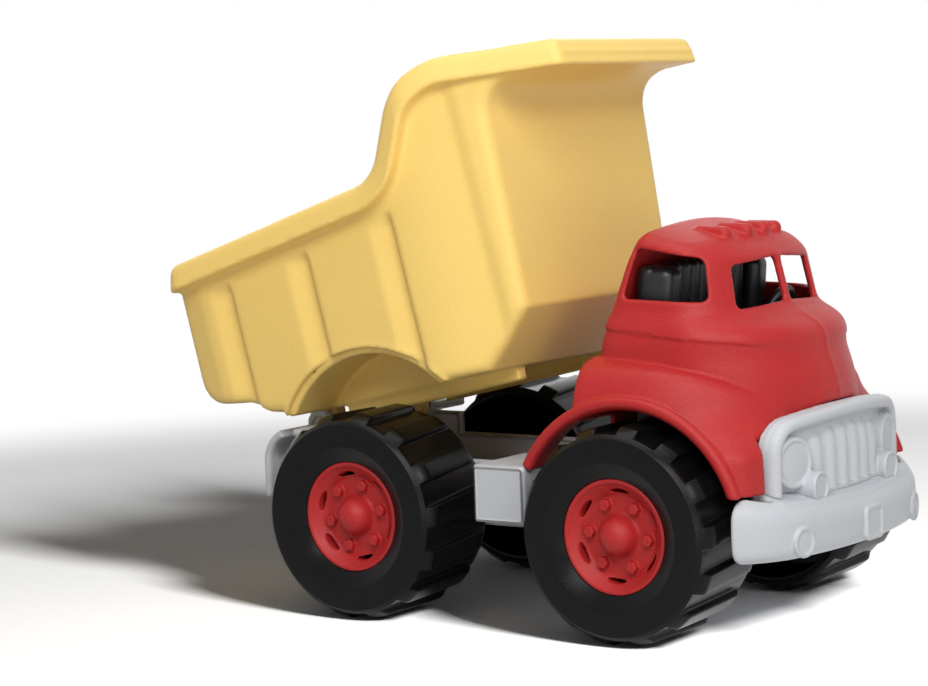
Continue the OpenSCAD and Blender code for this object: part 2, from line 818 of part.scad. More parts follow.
rim_y = bed_y + (bed_top - bed_z) / 2 * tan(bed_draft) + rim_out;
rim_corner = 28;
module rim_plan() {
  r = rim_corner;
  x1 = wall_x + canopy;
  y1 = rim_y;
  polygon(concat([[tail_x, -y1 + 9], [tail_x + 2, -y1 + 4], [tail_x + 9, -y1]],
    arc([x1 - r, -y1 + r], r, 270, 360, 12), arc([x1 - r, y1 - r], r, 0, 90, 12),
    [[tail_x + 9, y1], [tail_x + 2, y1 - 4], [tail_x, y1 - 9]]));
}

// a side groove falls gently inwards towards the front and then steps out again; moved in by w
groove_at = [rx - 53, rx - 11, rx + 33];
groove_len = 12;
groove_step = 3;
groove_top = rim_h + 5;
module groove(x, w) {
  intersection() {
    translate([x, bed_y - w, bed_z - 1])
      rotate([-bed_draft, 0, 0])
        translate([0, 0, -far / 2])
          linear_extrude(far)
            polygon([[-groove_len, 0], [0, -groove_d], [groove_step, 0], [groove_step, 2], [-groove_len, 2]]);
    side(0, far)
      polygon(concat(rim_line(groove_top), [[wall_x + canopy, 0], [tail_x, 0]]));
  }
}

bed_arch_r = arch_r - move_gap;
bed_arch_z = axle_z + arch_gap;
module bed_body() {
  difference() {
    union() {
      intersection() {
        side(-far, far) bed_side_outline();
        difference() {
          facing(-far, far) bed_front_outline(0);
          bed_bevel(0);
        }
      }
      // rim band
      intersection() {
        side(-far, far) rim_band();
        linear_extrude(far) rim_plan();
      }
    }
    intersection() {
      side(-far, far) bed_hollow_outline();
      difference() {
        facing(-far, far) bed_front_outline(bed_wall);
        bed_bevel(bed_wall);
        both()
          for (x = groove_at)
            groove(x, bed_wall);
      }
    }
  }
}

module dump_bed_down() {
  difference() {
    union() {
      bed_body();
      // wheel houses
      intersection() {
        both() rod_y(rx, bed_arch_z, bed_arch_r + bed_wall, well_y - bed_wall, bed_y);
        facing(-far, far) bed_front_outline(1);
        translate([-far, -far, bed_z + 1]) cube([2 * far, 2 * far, far]);
      }
      // rails and hinge lugs under the floor
      both() {
        translate([hinge_x + 2.5 * ear_r, ear_y0 - 2, deck_z + move_gap])
          cube([wall_x - slope_len - 2 - hinge_x - 2.5 * ear_r, tray_wall + 2, bed_z + 1 - deck_z]);
        rod_y(hinge_x, hinge_z, ear_r, ear_y0 - move_gap - bed_lug_w, ear_y0 - move_gap);
        translate([hinge_x - ear_r / 2, ear_y0 - move_gap - bed_lug_w, hinge_z])
          cube([1.5 * ear_r, bed_lug_w, bed_z + 6 - hinge_z]);
      }
    }
    both() {
      rod_y(rx, bed_arch_z, bed_arch_r, well_y, far);
      for (x = groove_at)
        groove(x, 0);
    }
    rod_y(hinge_x, hinge_z, pin_r + run_fit, -far, far);
  }
}

module dump_bed() {
  color("khaki")
    translate([hinge_x, 0, hinge_z])
      rotate([0, -bed_tilt, 0])
        translate([-hinge_x, 0, -hinge_z])
          dump_bed_down();
}

module pin_body(s) {
  y0 = ear_y0 - move_gap - bed_lug_w;
  y1 = tray_y - seat_gap;
  rod_y(hinge_x, hinge_z, pin_r, s > 0 ? y0 : -y1, s > 0 ? y1 : -y0);
}

module hinge_pin_left() { color("gainsboro") pin_body(1); }
module hinge_pin_right() { color("gainsboro") pin_body(-1); }
module axle_front() { color("firebrick") axle_body(fx); }
module axle_rear() { color("firebrick") axle_body(rx); }
module hub_front_left() { color("firebrick") at_wheel(fx, true) hub_body(); }
module hub_front_right() { color("firebrick") at_wheel(fx, false) hub_body(); }
module hub_rear_left() { color("firebrick") at_wheel(rx, true) hub_body(); }
module hub_rear_right() { color("firebrick") at_wheel(rx, false) hub_body(); }
module tyre_front_left() { color("dimgray") at_wheel(fx, true) tyre_body(); }
module tyre_front_right() { color("dimgray") at_wheel(fx, false) tyre_body(); }
module tyre_rear_left() { color("dimgray") at_wheel(rx, true) tyre_body(); }
module tyre_rear_right() { color("dimgray") at_wheel(rx, false) tyre_body(); }

chassis_frame();
front_bumper();
radiator_grille();
cab_shell();
seat_bench();
dashboard();
dump_bed();
hinge_pin_left();
hinge_pin_right();
axle_front();
axle_rear();
hub_front_left();
hub_front_right();
hub_rear_left();
hub_rear_right();
tyre_front_left();
tyre_front_right();
tyre_rear_left();
tyre_rear_right();
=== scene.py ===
import json
import math
import bpy
import numpy as np
from mathutils import Matrix, Vector


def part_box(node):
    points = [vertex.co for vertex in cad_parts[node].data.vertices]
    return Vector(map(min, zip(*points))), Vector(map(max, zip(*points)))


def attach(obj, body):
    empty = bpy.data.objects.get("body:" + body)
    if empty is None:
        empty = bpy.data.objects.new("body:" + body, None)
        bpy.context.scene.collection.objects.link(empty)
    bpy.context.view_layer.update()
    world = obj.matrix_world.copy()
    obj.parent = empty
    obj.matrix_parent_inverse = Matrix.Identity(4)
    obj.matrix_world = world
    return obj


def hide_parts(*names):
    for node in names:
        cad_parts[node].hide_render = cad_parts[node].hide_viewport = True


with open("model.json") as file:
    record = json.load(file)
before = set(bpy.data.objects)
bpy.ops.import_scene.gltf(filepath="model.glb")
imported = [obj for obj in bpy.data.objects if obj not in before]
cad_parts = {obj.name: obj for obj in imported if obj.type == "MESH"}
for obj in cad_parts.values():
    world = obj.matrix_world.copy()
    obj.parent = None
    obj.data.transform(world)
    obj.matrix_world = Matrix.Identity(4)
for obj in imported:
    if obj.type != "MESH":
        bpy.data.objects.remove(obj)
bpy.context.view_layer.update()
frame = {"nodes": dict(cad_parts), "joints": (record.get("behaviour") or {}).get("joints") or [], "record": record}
scene = bpy.context.scene
scene.view_settings.view_transform = "Standard"

mm = 1000.0  # shapes are worked out in millimetres and put down in metres
jointAt = {j["name"]: np.array(j["pos_m"]) * mm for j in frame["joints"]}
frontX, axleZ = jointAt["front_roll"][0], jointAt["front_roll"][2]
rearX = jointAt["rear_roll"][0]
hingeX, hingeZ = jointAt["bed_tip"][0], jointAt["bed_tip"][2]


def nodeBox(node):
    low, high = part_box(node)
    return np.array(low) * mm, np.array(high) * mm


tyreLow, tyreHigh = nodeBox("tyre_front_left")
faceY, tyreIn = tyreHigh[1], tyreLow[1]  # outer and inner tyre faces
print("frame: wheelbase", round(frontX - rearX, 1), "mm, tyre faces at", round(faceY, 1))


# tools for shapes kept as distance fields, negative inside

# lower of two fields, with the corner between them filled over a width k
def softMin(a, b, k):
    h = np.maximum(k - np.abs(a - b), 0) / k
    return np.minimum(a, b) - h * h * k / 4


def softMax(a, b, k):
    return -softMin(-a, -b, k)


# 0 before 0, 1 after 1, a smooth ramp between
def softStep(t):
    t = np.clip(t, 0, 1)
    return t * t * (3 - 2 * t)


# distance to a closed outline: the nearest edge, negative where a ray crosses an odd number of edges
def outlineField(u, v, points):
    shape = np.broadcast(u, v).shape
    near, inside = np.full(shape, np.inf), np.zeros(shape, bool)
    for (au, av), (bu, bv) in zip(points, np.roll(points, -1, 0)):
        eu, ev = bu - au, bv - av
        t = np.clip(((u - au) * eu + (v - av) * ev) / max(eu * eu + ev * ev, 1e-9), 0, 1)
        near = np.minimum(near, (u - au - eu * t) ** 2 + (v - av - ev * t) ** 2)
        if ev:
            inside = inside ^ (((v >= av) != (v >= bv)) & (u < eu * (v - av) / ev + au))
    return np.where(inside, -1, 1) * np.sqrt(near)


# points on an arc, angles in degrees
def arcPoints(centre, radius, start, end, n):
    a = np.radians(np.linspace(start, end, n))
    return np.stack([centre[0] + radius * np.cos(a), centre[1] + radius * np.sin(a)], 1)


# corners (u, v, radius) turned into an outline whose corners are arcs that touch both edges
def roundedOutline(corners, n=5):
    corners = np.array(corners, float)
    out = []
    for before, here, after in zip(np.roll(corners, 1, 0), corners, np.roll(corners, -1, 0)):
        p, r = here[:2], here[2]
        if r <= 0:
            out.append(p[None])
            continue
        a, b = before[:2] - p, after[:2] - p
        a, b = a / np.hypot(*a), b / np.hypot(*b)
        half = math.acos(np.clip(a @ b, -1, 1)) / 2
        reach = r / math.tan(half)
        centre = p + (a + b) / np.hypot(*(a + b)) * r / math.sin(half)
        s, e = p + a * reach - centre, p + b * reach - centre
        t = np.linspace(0, 1, n)[:, None]
        spoke = s * (1 - t) + e * t
        out.append(centre + spoke / np.hypot(spoke[:, 0], spoke[:, 1])[:, None] * r)
    return np.concatenate(out)


# where all of the fields overlap
def allOf(first, *others):
    for other in others:
        first = np.maximum(first, other)
    return first


def midHalf(a, b):
    return (a + b) / 2, (b - a) / 2


# where two fields at right angles overlap, with the edge between them rounded to r
def cornerField(u, v, r):
    u, v = u + r, v + r
    return np.hypot(np.maximum(u, 0), np.maximum(v, 0)) + np.minimum(np.maximum(u, v), 0) - r


# rounded box and rounded rod
def boxField(x, y, z, centre, half, r):
    q = [np.abs(p - c) - h + r for p, c, h in zip((x, y, z), centre, half)]
    out = np.sqrt(sum(np.maximum(a, 0) ** 2 for a in q))
    return out + np.minimum(allOf(*q), 0) - r


def rodField(away, along, radius, start, end, r):
    mid, half = midHalf(start, end)
    return cornerField(away - radius, np.abs(along - mid) - half, r)


# round lamp: a domed lens inside a raised ring, from the distance to its middle and the height over the face
def lampField(spoke, out, lamp):
    ring = np.hypot(spoke - lamp["r"] + lamp["ringSet"], out + lamp["ringLow"]) - lamp["ringTube"]
    dome = np.abs(out + lamp["lensLow"]) - lamp["lensHalf"] + lamp["dome"] * spoke ** 2
    return np.minimum(ring, softMax(spoke - lamp["r"] + lamp["lensSet"], dome, 0.5))


# value of a field, and what it gains over a short reach along x, y and z
def valueAndRise(field, x, y, z, reach):
    here = field(x, y, z)
    return here, [field(x + reach, y, z) - here, field(x, y + reach, z) - here, field(x, y, z + reach) - here]


# a field divided by its own slope, so that it reads in millimetres
def evened(field, reach=0.2):
    def even(x, y, z):
        here, rise = valueAndRise(field, x, y, z, reach)
        return here * reach / np.sqrt(rise[0] ** 2 + rise[1] ** 2 + rise[2] ** 2 + 1e-9)
    return even


# rows of values read as smooth curves of their first column: straight between rows, then a running mean
def smoothRows(rows, spread, grain=0.2):
    rows = np.array(rows, float)
    at = np.arange(rows[0, 0] - 4 * spread, rows[-1, 0] + 4 * spread, grain)
    bell = np.exp(-0.5 * (np.arange(-3 * spread, 3 * spread + grain, grain) / spread) ** 2)
    pad = len(bell) // 2
    columns = [np.interp(at, rows[:, 0], c) for c in rows[:, 1:].T]
    columns = [np.pad(c, (pad, len(bell) - 1 - pad), mode="edge") for c in columns]
    columns = [np.convolve(c, bell / bell.sum(), mode="valid") for c in columns]
    return lambda t: [np.interp(t, at, c) for c in columns]


# skin of a field: one vertex in every lattice cell that the surface crosses, at the mean of its edge crossings,
# a quad round every crossed edge, then each vertex drawn onto the surface along the slope of the field
def skinField(field, low, high, step, polish=2):
    axes = [np.arange(a - 2 * step, b + 3 * step, step) for a, b in zip(low, high)]
    shape = [len(a) for a in axes]
    value = field(axes[0][:, None, None], axes[1][None, :, None], axes[2][None, None, :])
    value = np.broadcast_to(value, shape)
    cells, places = [], []
    for axis in range(3):
        u, v = (axis + 1) % 3, (axis + 2) % 3
        first, second = np.delete(value, -1, axis), np.delete(value, 0, axis)
        edge = np.argwhere((first < 0) != (second < 0))
        f0, f1 = first[tuple(edge.T)], second[tuple(edge.T)]
        place = edge.astype(float)
        place[:, axis] += f0 / (f0 - f1)
        ring = np.repeat(edge[:, None], 4, axis=1)
        ring[:, 0, u] -= 1
        ring[:, 0, v] -= 1
        ring[:, 1, v] -= 1
        ring[:, 3, u] -= 1
        ring = np.where((f0 > 0)[:, None, None], ring[:, ::-1], ring)
        cells.append(ring.reshape(-1, 3) @ np.array([shape[1] * shape[2], shape[2], 1]))
        places.append(np.repeat(place, 4, axis=0))
    places = np.concatenate(places)
    index = np.unique(np.concatenate(cells), return_inverse=True)[1]
    points = np.stack([np.bincount(index, p) for p in places.T], 1) / np.bincount(index)[:, None]
    points = points * step + [a[0] for a in axes]
    reach = step / 25
    for _ in range(polish):
        here, rise = valueAndRise(field, *points.T, reach)
        slope = np.stack(rise, 1) / reach
        move = slope * (here / np.maximum((slope ** 2).sum(1), 0.1))[:, None]
        points = points - np.clip(move, -step / 2, step / 2)
    return points, index.reshape(-1, 4)


# faces of a grid of points that closes on itself both ways
def ringFaces(n, m):
    i, j = np.meshgrid(np.arange(n), np.arange(m), indexing="ij")
    nextI, nextJ = (i + 1) % n, (j + 1) % m
    return np.stack([i * m + j, nextI * m + j, nextI * m + nextJ, i * m + nextJ], -1).reshape(-1, 4)


# puts points in millimetres and quads into a smooth mesh that rides on a body and stands for CAD nodes
def putPiece(name, points, quads, body, nodes, slotName):
    mesh = bpy.data.meshes.new(name)
    mesh.vertices.add(len(points))
    mesh.vertices.foreach_set("co", (points / mm).astype(np.float32).ravel())
    mesh.loops.add(quads.size)
    mesh.loops.foreach_set("vertex_index", quads.astype(np.int32).ravel())
    mesh.polygons.add(len(quads))
    mesh.polygons.foreach_set("loop_start", np.arange(0, quads.size, 4, dtype=np.int32))
    mesh.polygons.foreach_set("use_smooth", np.ones(len(quads), bool))
    mesh.update(calc_edges=True)
    mesh.validate()
    mesh.materials.append(finishes[slotName])
    piece = bpy.data.objects.new(name, mesh)
    scene.collection.objects.link(piece)
    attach(piece, body)
    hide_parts(*nodes)
    print(name, len(points), "points")


# finishes

# a node with its settings; what is given for a socket is an output to link or a constant
def addNode(tree, kind, sockets={}, **settings):
    node = tree.nodes.new(kind)
    for key, value in settings.items():
        setattr(node, key, value)
    for key, value in sockets.items():
        if isinstance(value, bpy.types.NodeSocket):
            tree.links.new(value, node.inputs[key])
        else:
            node.inputs[key].default_value = value
    return node


# an empty group that takes a vector and one number, with the outputs of its start
def startGroup(name, number, outputs):
    group = bpy.data.node_groups.new(name, "ShaderNodeTree")
    face = group.interface
    face.new_socket("Vector", in_out="INPUT", socket_type="NodeSocketVector")
    face.new_socket(number, in_out="INPUT", socket_type="NodeSocketFloat")
    for output in outputs:
        face.new_socket(output, in_out="OUTPUT", socket_type="NodeSocketFloat")
    start = addNode(group, "NodeGroupInput")
    return group, start.outputs["Vector"], start.outputs[number]


# moulded grain: a fine cell pattern roughened by noise, with slow clouds for the tone
def makeMouldGrain():
    group, vector, grains = startGroup("mouldGrain", "Grains Per Metre", ("Height", "Clouds", "Flecks"))
    fine = addNode(group, "ShaderNodeTexNoise", {"Vector": vector, "Scale": grains, "Detail": 3}).outputs["Fac"]
    clouds = addNode(group, "ShaderNodeTexNoise", {"Vector": vector, "Scale": 28, "Detail": 4}).outputs["Fac"]
    cells = addNode(group, "ShaderNodeTexVoronoi", {"Vector": vector, "Scale": grains}).outputs["Distance"]
    height = addNode(group, "ShaderNodeMath", {0: cells, 1: 0.6, 2: fine}, operation="MULTIPLY_ADD").outputs[0]
    addNode(group, "NodeGroupOutput", {"Height": height, "Clouds": clouds, "Flecks": fine})
    return group


# play wear: a few long fine scratches and patches rubbed by hands
def makePlayWear():
    group, vector, amount = startGroup("playWear", "Amount", ("Scratches", "Rubbed"))
    stretch = {"Vector": vector, "Rotation": (0.4, 0.7, 0.3), "Scale": (12, 700, 260)}
    stretched = addNode(group, "ShaderNodeMapping", stretch).outputs[0]
    lines = addNode(group, "ShaderNodeTexNoise", {"Vector": stretched, "Scale": 1, "Detail": 1})
    patches = addNode(group, "ShaderNodeTexNoise", {"Vector": vector, "Scale": 45, "Detail": 5})
    # wear starts where the noise passes the low value and is full at the high one
    wear = {}
    for name, noise, low, high in (("Scratches", lines, 0.70, 0.76), ("Rubbed", patches, 0.45, 0.72)):
        pick = {"Value": noise.outputs["Fac"], "From Min": low, "From Max": high}
        picked = addNode(group, "ShaderNodeMapRange", pick).outputs["Result"]
        wear[name] = addNode(group, "ShaderNodeMath", {0: picked, 1: amount}, operation="MULTIPLY").outputs[0]
    addNode(group, "NodeGroupOutput", wear)
    return group


mouldGrain, playWear = makeMouldGrain(), makePlayWear()


# moulded plastic: colour drifts with the clouds, rubbed patches are glossier, grain and scratches bump the surface
def makePlastic(name, colour, drift, grain, grainDepth, rough, specular, wear):
    material = bpy.data.materials.new(name)
    material.use_nodes = True
    tree = material.node_tree
    place = addNode(tree, "ShaderNodeTexCoord").outputs["Object"]
    grains = addNode(tree, "ShaderNodeGroup", {"Vector": place, "Grains Per Metre": grain}, node_tree=mouldGrain)
    worn = addNode(tree, "ShaderNodeGroup", {"Vector": place, "Amount": wear}, node_tree=playWear)
    dark, pale = ((*[min(c * k, 1) for c in colour], 1) for k in (1 - drift, 1 + drift))
    tone = {"Factor": grains.outputs["Clouds"], "A": dark, "B": pale}
    tone = addNode(tree, "ShaderNodeMix", tone, data_type="RGBA").outputs["Result"]
    speck = {"Value": grains.outputs["Flecks"], "From Min": 0.3, "From Max": 0.7, "To Min": 0.8, "To Max": 1.1}
    speck = addNode(tree, "ShaderNodeMapRange", speck).outputs["Result"]
    fleck = {"Factor": 0.35, "A": tone, "B": speck}
    fleck = addNode(tree, "ShaderNodeMix", fleck, data_type="RGBA", blend_type="MULTIPLY")
    gloss = {"Value": worn.outputs["Rubbed"], "To Min": rough, "To Max": rough - 0.12}
    gloss = addNode(tree, "ShaderNodeMapRange", gloss)
    bump = {"Strength": 1, "Distance": grainDepth / mm, "Height": grains.outputs["Height"]}
    bump = addNode(tree, "ShaderNodeBump", bump).outputs["Normal"]
    scratch = {"Strength": 0.3, "Distance": 0.03 / mm, "Height": worn.outputs["Scratches"], "Normal": bump}
    scratch = addNode(tree, "ShaderNodeBump", scratch, invert=True)
    shader = tree.nodes["Principled BSDF"].inputs
    shader["Specular IOR Level"].default_value = specular
    tree.links.new(fleck.outputs["Result"], shader["Base Color"])
    tree.links.new(gloss.outputs["Result"], shader["Roughness"])
    tree.links.new(scratch.outputs["Normal"], shader["Normal"])
    return material


# grain is a count per metre, grainDepth is in millimetres
plastics = {
    "red": {"colour": (0.42, 0.0205, 0.0205), "drift": 0.06, "grain": 1200, "grainDepth": 0.11,
            "rough": 0.46, "specular": 0.25, "wear": 0.5},
    "yellow": {"colour": (0.92, 0.635, 0.178), "drift": 0.03, "grain": 2200, "grainDepth": 0.012,
               "rough": 0.42, "specular": 0.35, "wear": 0.4},
    "grey": {"colour": (0.51, 0.527, 0.551), "drift": 0.03, "grain": 2000, "grainDepth": 0.015,
             "rough": 0.45, "specular": 0.35, "wear": 0.5},
    "tyre": {"colour": (0.0032, 0.0032, 0.0034), "drift": 0.2, "grain": 1600, "grainDepth": 0.025,
             "rough": 0.27, "specular": 0.12, "wear": 0.6},
    "interior": {"colour": (0.010, 0.010, 0.011), "drift": 0.2, "grain": 1300, "grainDepth": 0.05,
                 "rough": 0.36, "specular": 0.4, "wear": 0.5},
}
finishes = {name + "_plastic": makePlastic(name + "Plastic", **look) for name, look in plastics.items()}
for part in frame["record"]["subparts"]:
    slots = frame["nodes"][part["node"]].data.materials
    slots.clear()
    slots.append(finishes[part["material_slot"]])
print("finishes ready")

# cab: a stack of plan sections with wide fenders, hollow, with windows and roof markers
cab = {
    "step": 0.88, "room": ((frontX - 47, -75, 54), (frontX + 56, 75, 156)),
    "wall": 2.6, "low": 55.7, "deck": 68.1, "trayHalf": 37.5, "cutEdge": 0.8,
    # wheel arch, the bead round it and the fender tail behind it
    "archX": frontX - 1.3, "archR": 45.5, "lipR": 47.8, "lipY": 66.8, "lipTube": 2.4,
    "tailAngle": 153, "tailHalf": 1.6, "tailIn": 5.5, "tailWide": 6, "tailX": frontX - 20,
    # the roof falls gently forward and to both sides
    "roofZ": 153.9, "roofX": 50, "roofFall": 0.22, "roofRound": 0.0028, "roofEdge": 5,
    # height above the axle, rear, front, half width, roundness at the back and at the front
    "sections": [
        (15, -24, 50, 49, 10, 2.6), (42, -24, 52.6, 51.6, 10, 2.05), (52, -23.8, 51.6, 52.2, 10, 1.95),
        (62.3, -23.5, 47.9, 52.8, 10, 1.97), (68.3, -23, 47.2, 53.1, 10, 2.05), (72, -22.4, 45.2, 52, 10, 2.1),
        (74.8, -21.6, 40.6, 51, 10, 2.2), (77.3, -20.8, 33.4, 49.6, 10, 2.4), (80.3, -19.5, 31, 48.2, 10, 2.6),
        (97.3, -14, 26.6, 45.2, 10, 2.7), (103.8, -11.2, 22.5, 43.3, 10, 2.5), (116, -6.5, 17, 40.5, 10, 2.4)],
    # height above the axle, reach ahead of the dome, half width, roundness
    "fenders": [
        (15, 60, 67.7, 9), (28, 60, 67.7, 8), (35, 60, 67.7, 4), (39, 59, 67.6, 3.2), (44, 57.5, 67.2, 2.75),
        (47.3, 57.5, 66.8, 2.6), (51.2, 56, 65.4, 2.65), (55.3, 53, 63.4, 2.8), (58.5, 48.5, 61.2, 2.95),
        (60.9, 41, 58, 2.9), (62.4, 31, 54, 2.7), (63.4, 22, 51, 2.6)],
    "fenderMid": -10, "fenderBack": 15.4, "fenderBackRound": 14, "fenderBlend": 0.9,
    # height of the ledge on top of the fender along x
    "ledge": [(-30, 63.2), (-10, 62.6), (8, 60.9), (20, 58.4), (30, 55), (38, 50.8), (44, 46.6), (54, 38)],
    "ledgeEdge": 3,
    # window corners with their radii: side in x and height, front in half width and height
    "sideGlass": [(-8, 103, 2), (18.4, 98.9, 4.2), (20.8, 83.2, 1.8), (-12.6, 84.4, 1.8)],
    "frontGlass": [(1.7, 97.6, 2), (29.2, 95.6, 2.2), (31, 79.6, 2), (1.7, 81.0, 2)],
    "sideGlassY": 20, "frontGlassX": frontX + 15, "glassEdge": 1.5,
    # crease along the belt, in x and z: how sharp it starts, how far down it fades and where it ends
    "belt": [(40, 114.3), (62, 112.3), (91.5, 109.4), (108.5, 105.8)],
    "beltDepth": 0.9, "beltSharp": 0.7, "beltFade": 13, "beltEnd": 107, "beltRun": 14,
    "noseX": 20, "noseRun": 6, "peak": 0.5, "peakHalf": 2.0, "peakTop": 119, "peakRun": 4,
    "prow": 2.0, "prowHalf": 34, "prowH": (74, 104), "prowRamp": 6, "prowX": 8, "prowRun": 8,
    "panelHalf": 14.5, "panelTop": 90.3, "panelRound": 3, "panelArch": 0.012, "panelRaise": 0.6, "panelSlope": 0.9,
    "markerY": (6.5, 19.5), "markerX": frontX + 18.4, "markerBow": 0.006, "markerLen": 10.5,
    "markerR": 3.0, "markerTaper": 1.5, "markerLift": (0.5, -0.2),
    # room left round the grille
    "holeGap": 2.3, "holeDrop": 2, "holeBack": 0.3,
}
# the grille's plate, which the cab leaves room for
grilleShape = {
    "x": frontX + 58, "bow": 175.0, "thick": 6.0, "z": axleZ + 14.85, "half": 50.3, "height": 28.8, "arch": 4.0,
    "archShare": 0.72, "corner": 13, "skirt": 7.0,
}
# the top of the bumper, which falls towards the front
bumperTop = {"x": frontX + 46.35, "z": axleZ + 14.8, "fall": math.radians(18)}
cabAt = smoothRows(cab["sections"], 1.1)
fenderAt = smoothRows(cab["fenders"], 1.5)


# plan section at each height: a superellipse whose front and back halves have their own reach and roundness
def planField(x, y, mid, front, back, half, nFront, nBack):
    ahead = x > mid
    n = np.where(ahead, nFront, nBack)
    u = np.abs(x - mid) / np.where(ahead, front, back)
    return (u ** n + (np.abs(y) / half) ** n) ** (1 / n) - 1


def cabPlan(x, y, z):
    rear, front, half, nBack, nFront = cabAt(z - axleZ)
    mid, reach = midHalf(rear, front)
    return planField(x, y, frontX + mid, reach, reach, half, nFront, nBack)


def fenderPlan(x, y, z):
    reach, half, n = fenderAt(z - axleZ)
    return planField(x, y, frontX + cab["fenderMid"], reach, cab["fenderBack"], half, n, cab["fenderBackRound"])


cabBody, fenderBody = evened(cabPlan), evened(fenderPlan)


def overBumper(x, z):
    fall = bumperTop["fall"]
    return (z - bumperTop["z"]) * math.cos(fall) + (x - bumperTop["x"]) * math.sin(fall)


# outline of the grille from the front, grown by g: arched top, round upper corners, a skirt down to the bumper
def grilleOutline(g):
    s = grilleShape
    w, h, low = s["half"] + g, s["height"] + g, -s["skirt"]
    side = np.linspace(s["archShare"], -s["archShare"], 9) * w
    top = np.stack([side, h - s["arch"] * (side / w) ** 2, np.zeros(9)], 1)
    corner = (h - s["arch"], s["corner"])
    return roundedOutline([(-w, low, 0), (w, low, 0), (w, *corner), *top, (-w, *corner)], 8)


def roofZ(x, y):
    return cab["roofZ"] - cab["roofFall"] * (x - cab["roofX"]) - cab["roofRound"] * y * y


def cabSkin(x, y, z):
    c, side, h = cab, np.abs(y), z - axleZ
    # heights over the sloping roof and ledge are scaled to distances
    body = softMax(cabBody(x, y, z), (z - roofZ(x, y)) * 0.96, c["roofEdge"])
    # the top of the fender is a ledge that falls towards the grille
    overLedge = (h - np.interp(x - frontX, *np.array(c["ledge"]).T)) * 0.93
    fender = softMax(fenderBody(x, y, z), overLedge, c["ledgeEdge"])
    out = softMin(body, fender, c["fenderBlend"])
    # crease along the belt, fading out towards the hood
    under = np.interp(x, *np.array(c["belt"]).T) - z
    crease = c["beltDepth"] * softStep(under / c["beltSharp"]) * softStep(1 - under / c["beltFade"])
    out = out + crease * softStep((c["beltEnd"] - x) / c["beltRun"])
    # peak along the middle of the hood
    nose = softStep((x - frontX - c["noseX"]) / c["noseRun"])
    peak = c["peak"] * np.exp(-side / c["peakHalf"]) * nose
    out = out - peak * softStep((c["peakTop"] - z) / c["peakRun"])
    # the two halves of the windscreen meet in a blunt prow
    low, high = c["prowH"]
    prow = softStep((h - low) / c["prowRamp"]) * softStep((axleZ + high - z) / c["prowRamp"])
    prow = prow * softStep((x - frontX - c["prowX"]) / c["prowRun"])
    out = out - c["prow"] * np.maximum(1 - side / c["prowHalf"], 0) * prow
    # raised panel over the grille
    r = c["panelRound"]
    across, over = side - c["panelHalf"] + r, z - c["panelTop"] + r
    panel = np.maximum(across, over + side * side * c["panelArch"])
    corner = np.hypot(np.maximum(across, 0), np.maximum(over, 0)) - r
    panel = np.where(panel > 0, corner, panel - r)
    return out - c["panelRaise"] * softStep(-panel / c["panelSlope"] + 0.5) * nose


def cabField(x, y, z):
    c, side, h = cab, np.abs(y), z - axleZ
    out = cabSkin(x, y, z)
    shell = np.abs(out + c["wall"] / 2) - c["wall"] / 2
    # windows
    sideGlass = np.maximum(outlineField(x - frontX, h, roundedOutline(c["sideGlass"])), c["sideGlassY"] - side)
    frontGlass = np.maximum(outlineField(side, h, roundedOutline(c["frontGlass"])), c["frontGlassX"] - x)
    shell = softMax(shell, -np.minimum(sideGlass, frontGlass), c["glassEdge"])
    # roof markers: rounded cones lying along the roof
    for markerY in c["markerY"]:
        headX = c["markerX"] - c["markerBow"] * markerY ** 2
        head, tail = (np.array([endX, markerY, roofZ(endX, markerY) + lift])
                      for endX, lift in zip((headX, headX - c["markerLen"]), c["markerLift"]))
        line = tail - head
        t = np.clip(((x - head[0]) * line[0] + (z - head[2]) * line[2]) / (line @ line), 0, 1)
        gap = (x - head[0] - t * line[0]) ** 2 + (side - markerY) ** 2 + (z - head[2] - t * line[2]) ** 2
        shell = softMin(shell, np.sqrt(gap) - c["markerR"] + c["markerTaper"] * t, 1.2)
    # wheel wells, then the bead round each arch with the fender tail behind it; both end at the tail angle
    spoke = np.hypot(x - c["archX"], h)
    shell = softMax(shell, -np.maximum(spoke - c["archR"], c["trayHalf"] - side), 1.0)
    a = math.radians(c["tailAngle"])
    past = -math.sin(a) * (x - c["archX"]) + math.cos(a) * h
    bead = np.hypot(spoke - c["lipR"], side - c["lipY"]) - c["lipTube"]
    tail = softMax(np.abs(spoke - c["lipR"]) - c["tailHalf"],
                   np.abs(side - c["lipY"] + c["tailIn"]) - c["tailWide"], 1.0)
    tail = np.maximum(tail, x - c["tailX"])
    shell = softMin(shell, softMax(softMin(bead, tail, 1.0), past, 1.5), 1.2)
    # open bottom, step onto the tray and the opening for the grille
    shell = softMax(shell, c["low"] - z, c["cutEdge"])
    shell = softMax(shell, -np.maximum(side - c["trayHalf"], z - c["deck"]), c["cutEdge"])
    fromBow = np.hypot(x - grilleShape["x"] + grilleShape["bow"], y)
    hole = outlineField(y, z - grilleShape["z"] + c["holeDrop"], grilleOutline(c["holeGap"]))
    hole = np.maximum(hole, grilleShape["bow"] - grilleShape["thick"] - c["holeBack"] - fromBow)
    return softMax(shell, -hole, c["cutEdge"])


putPiece("cabShell", *skinField(cabField, *cab["room"], cab["step"]), "truck", ["cab_shell"], "red_plastic")

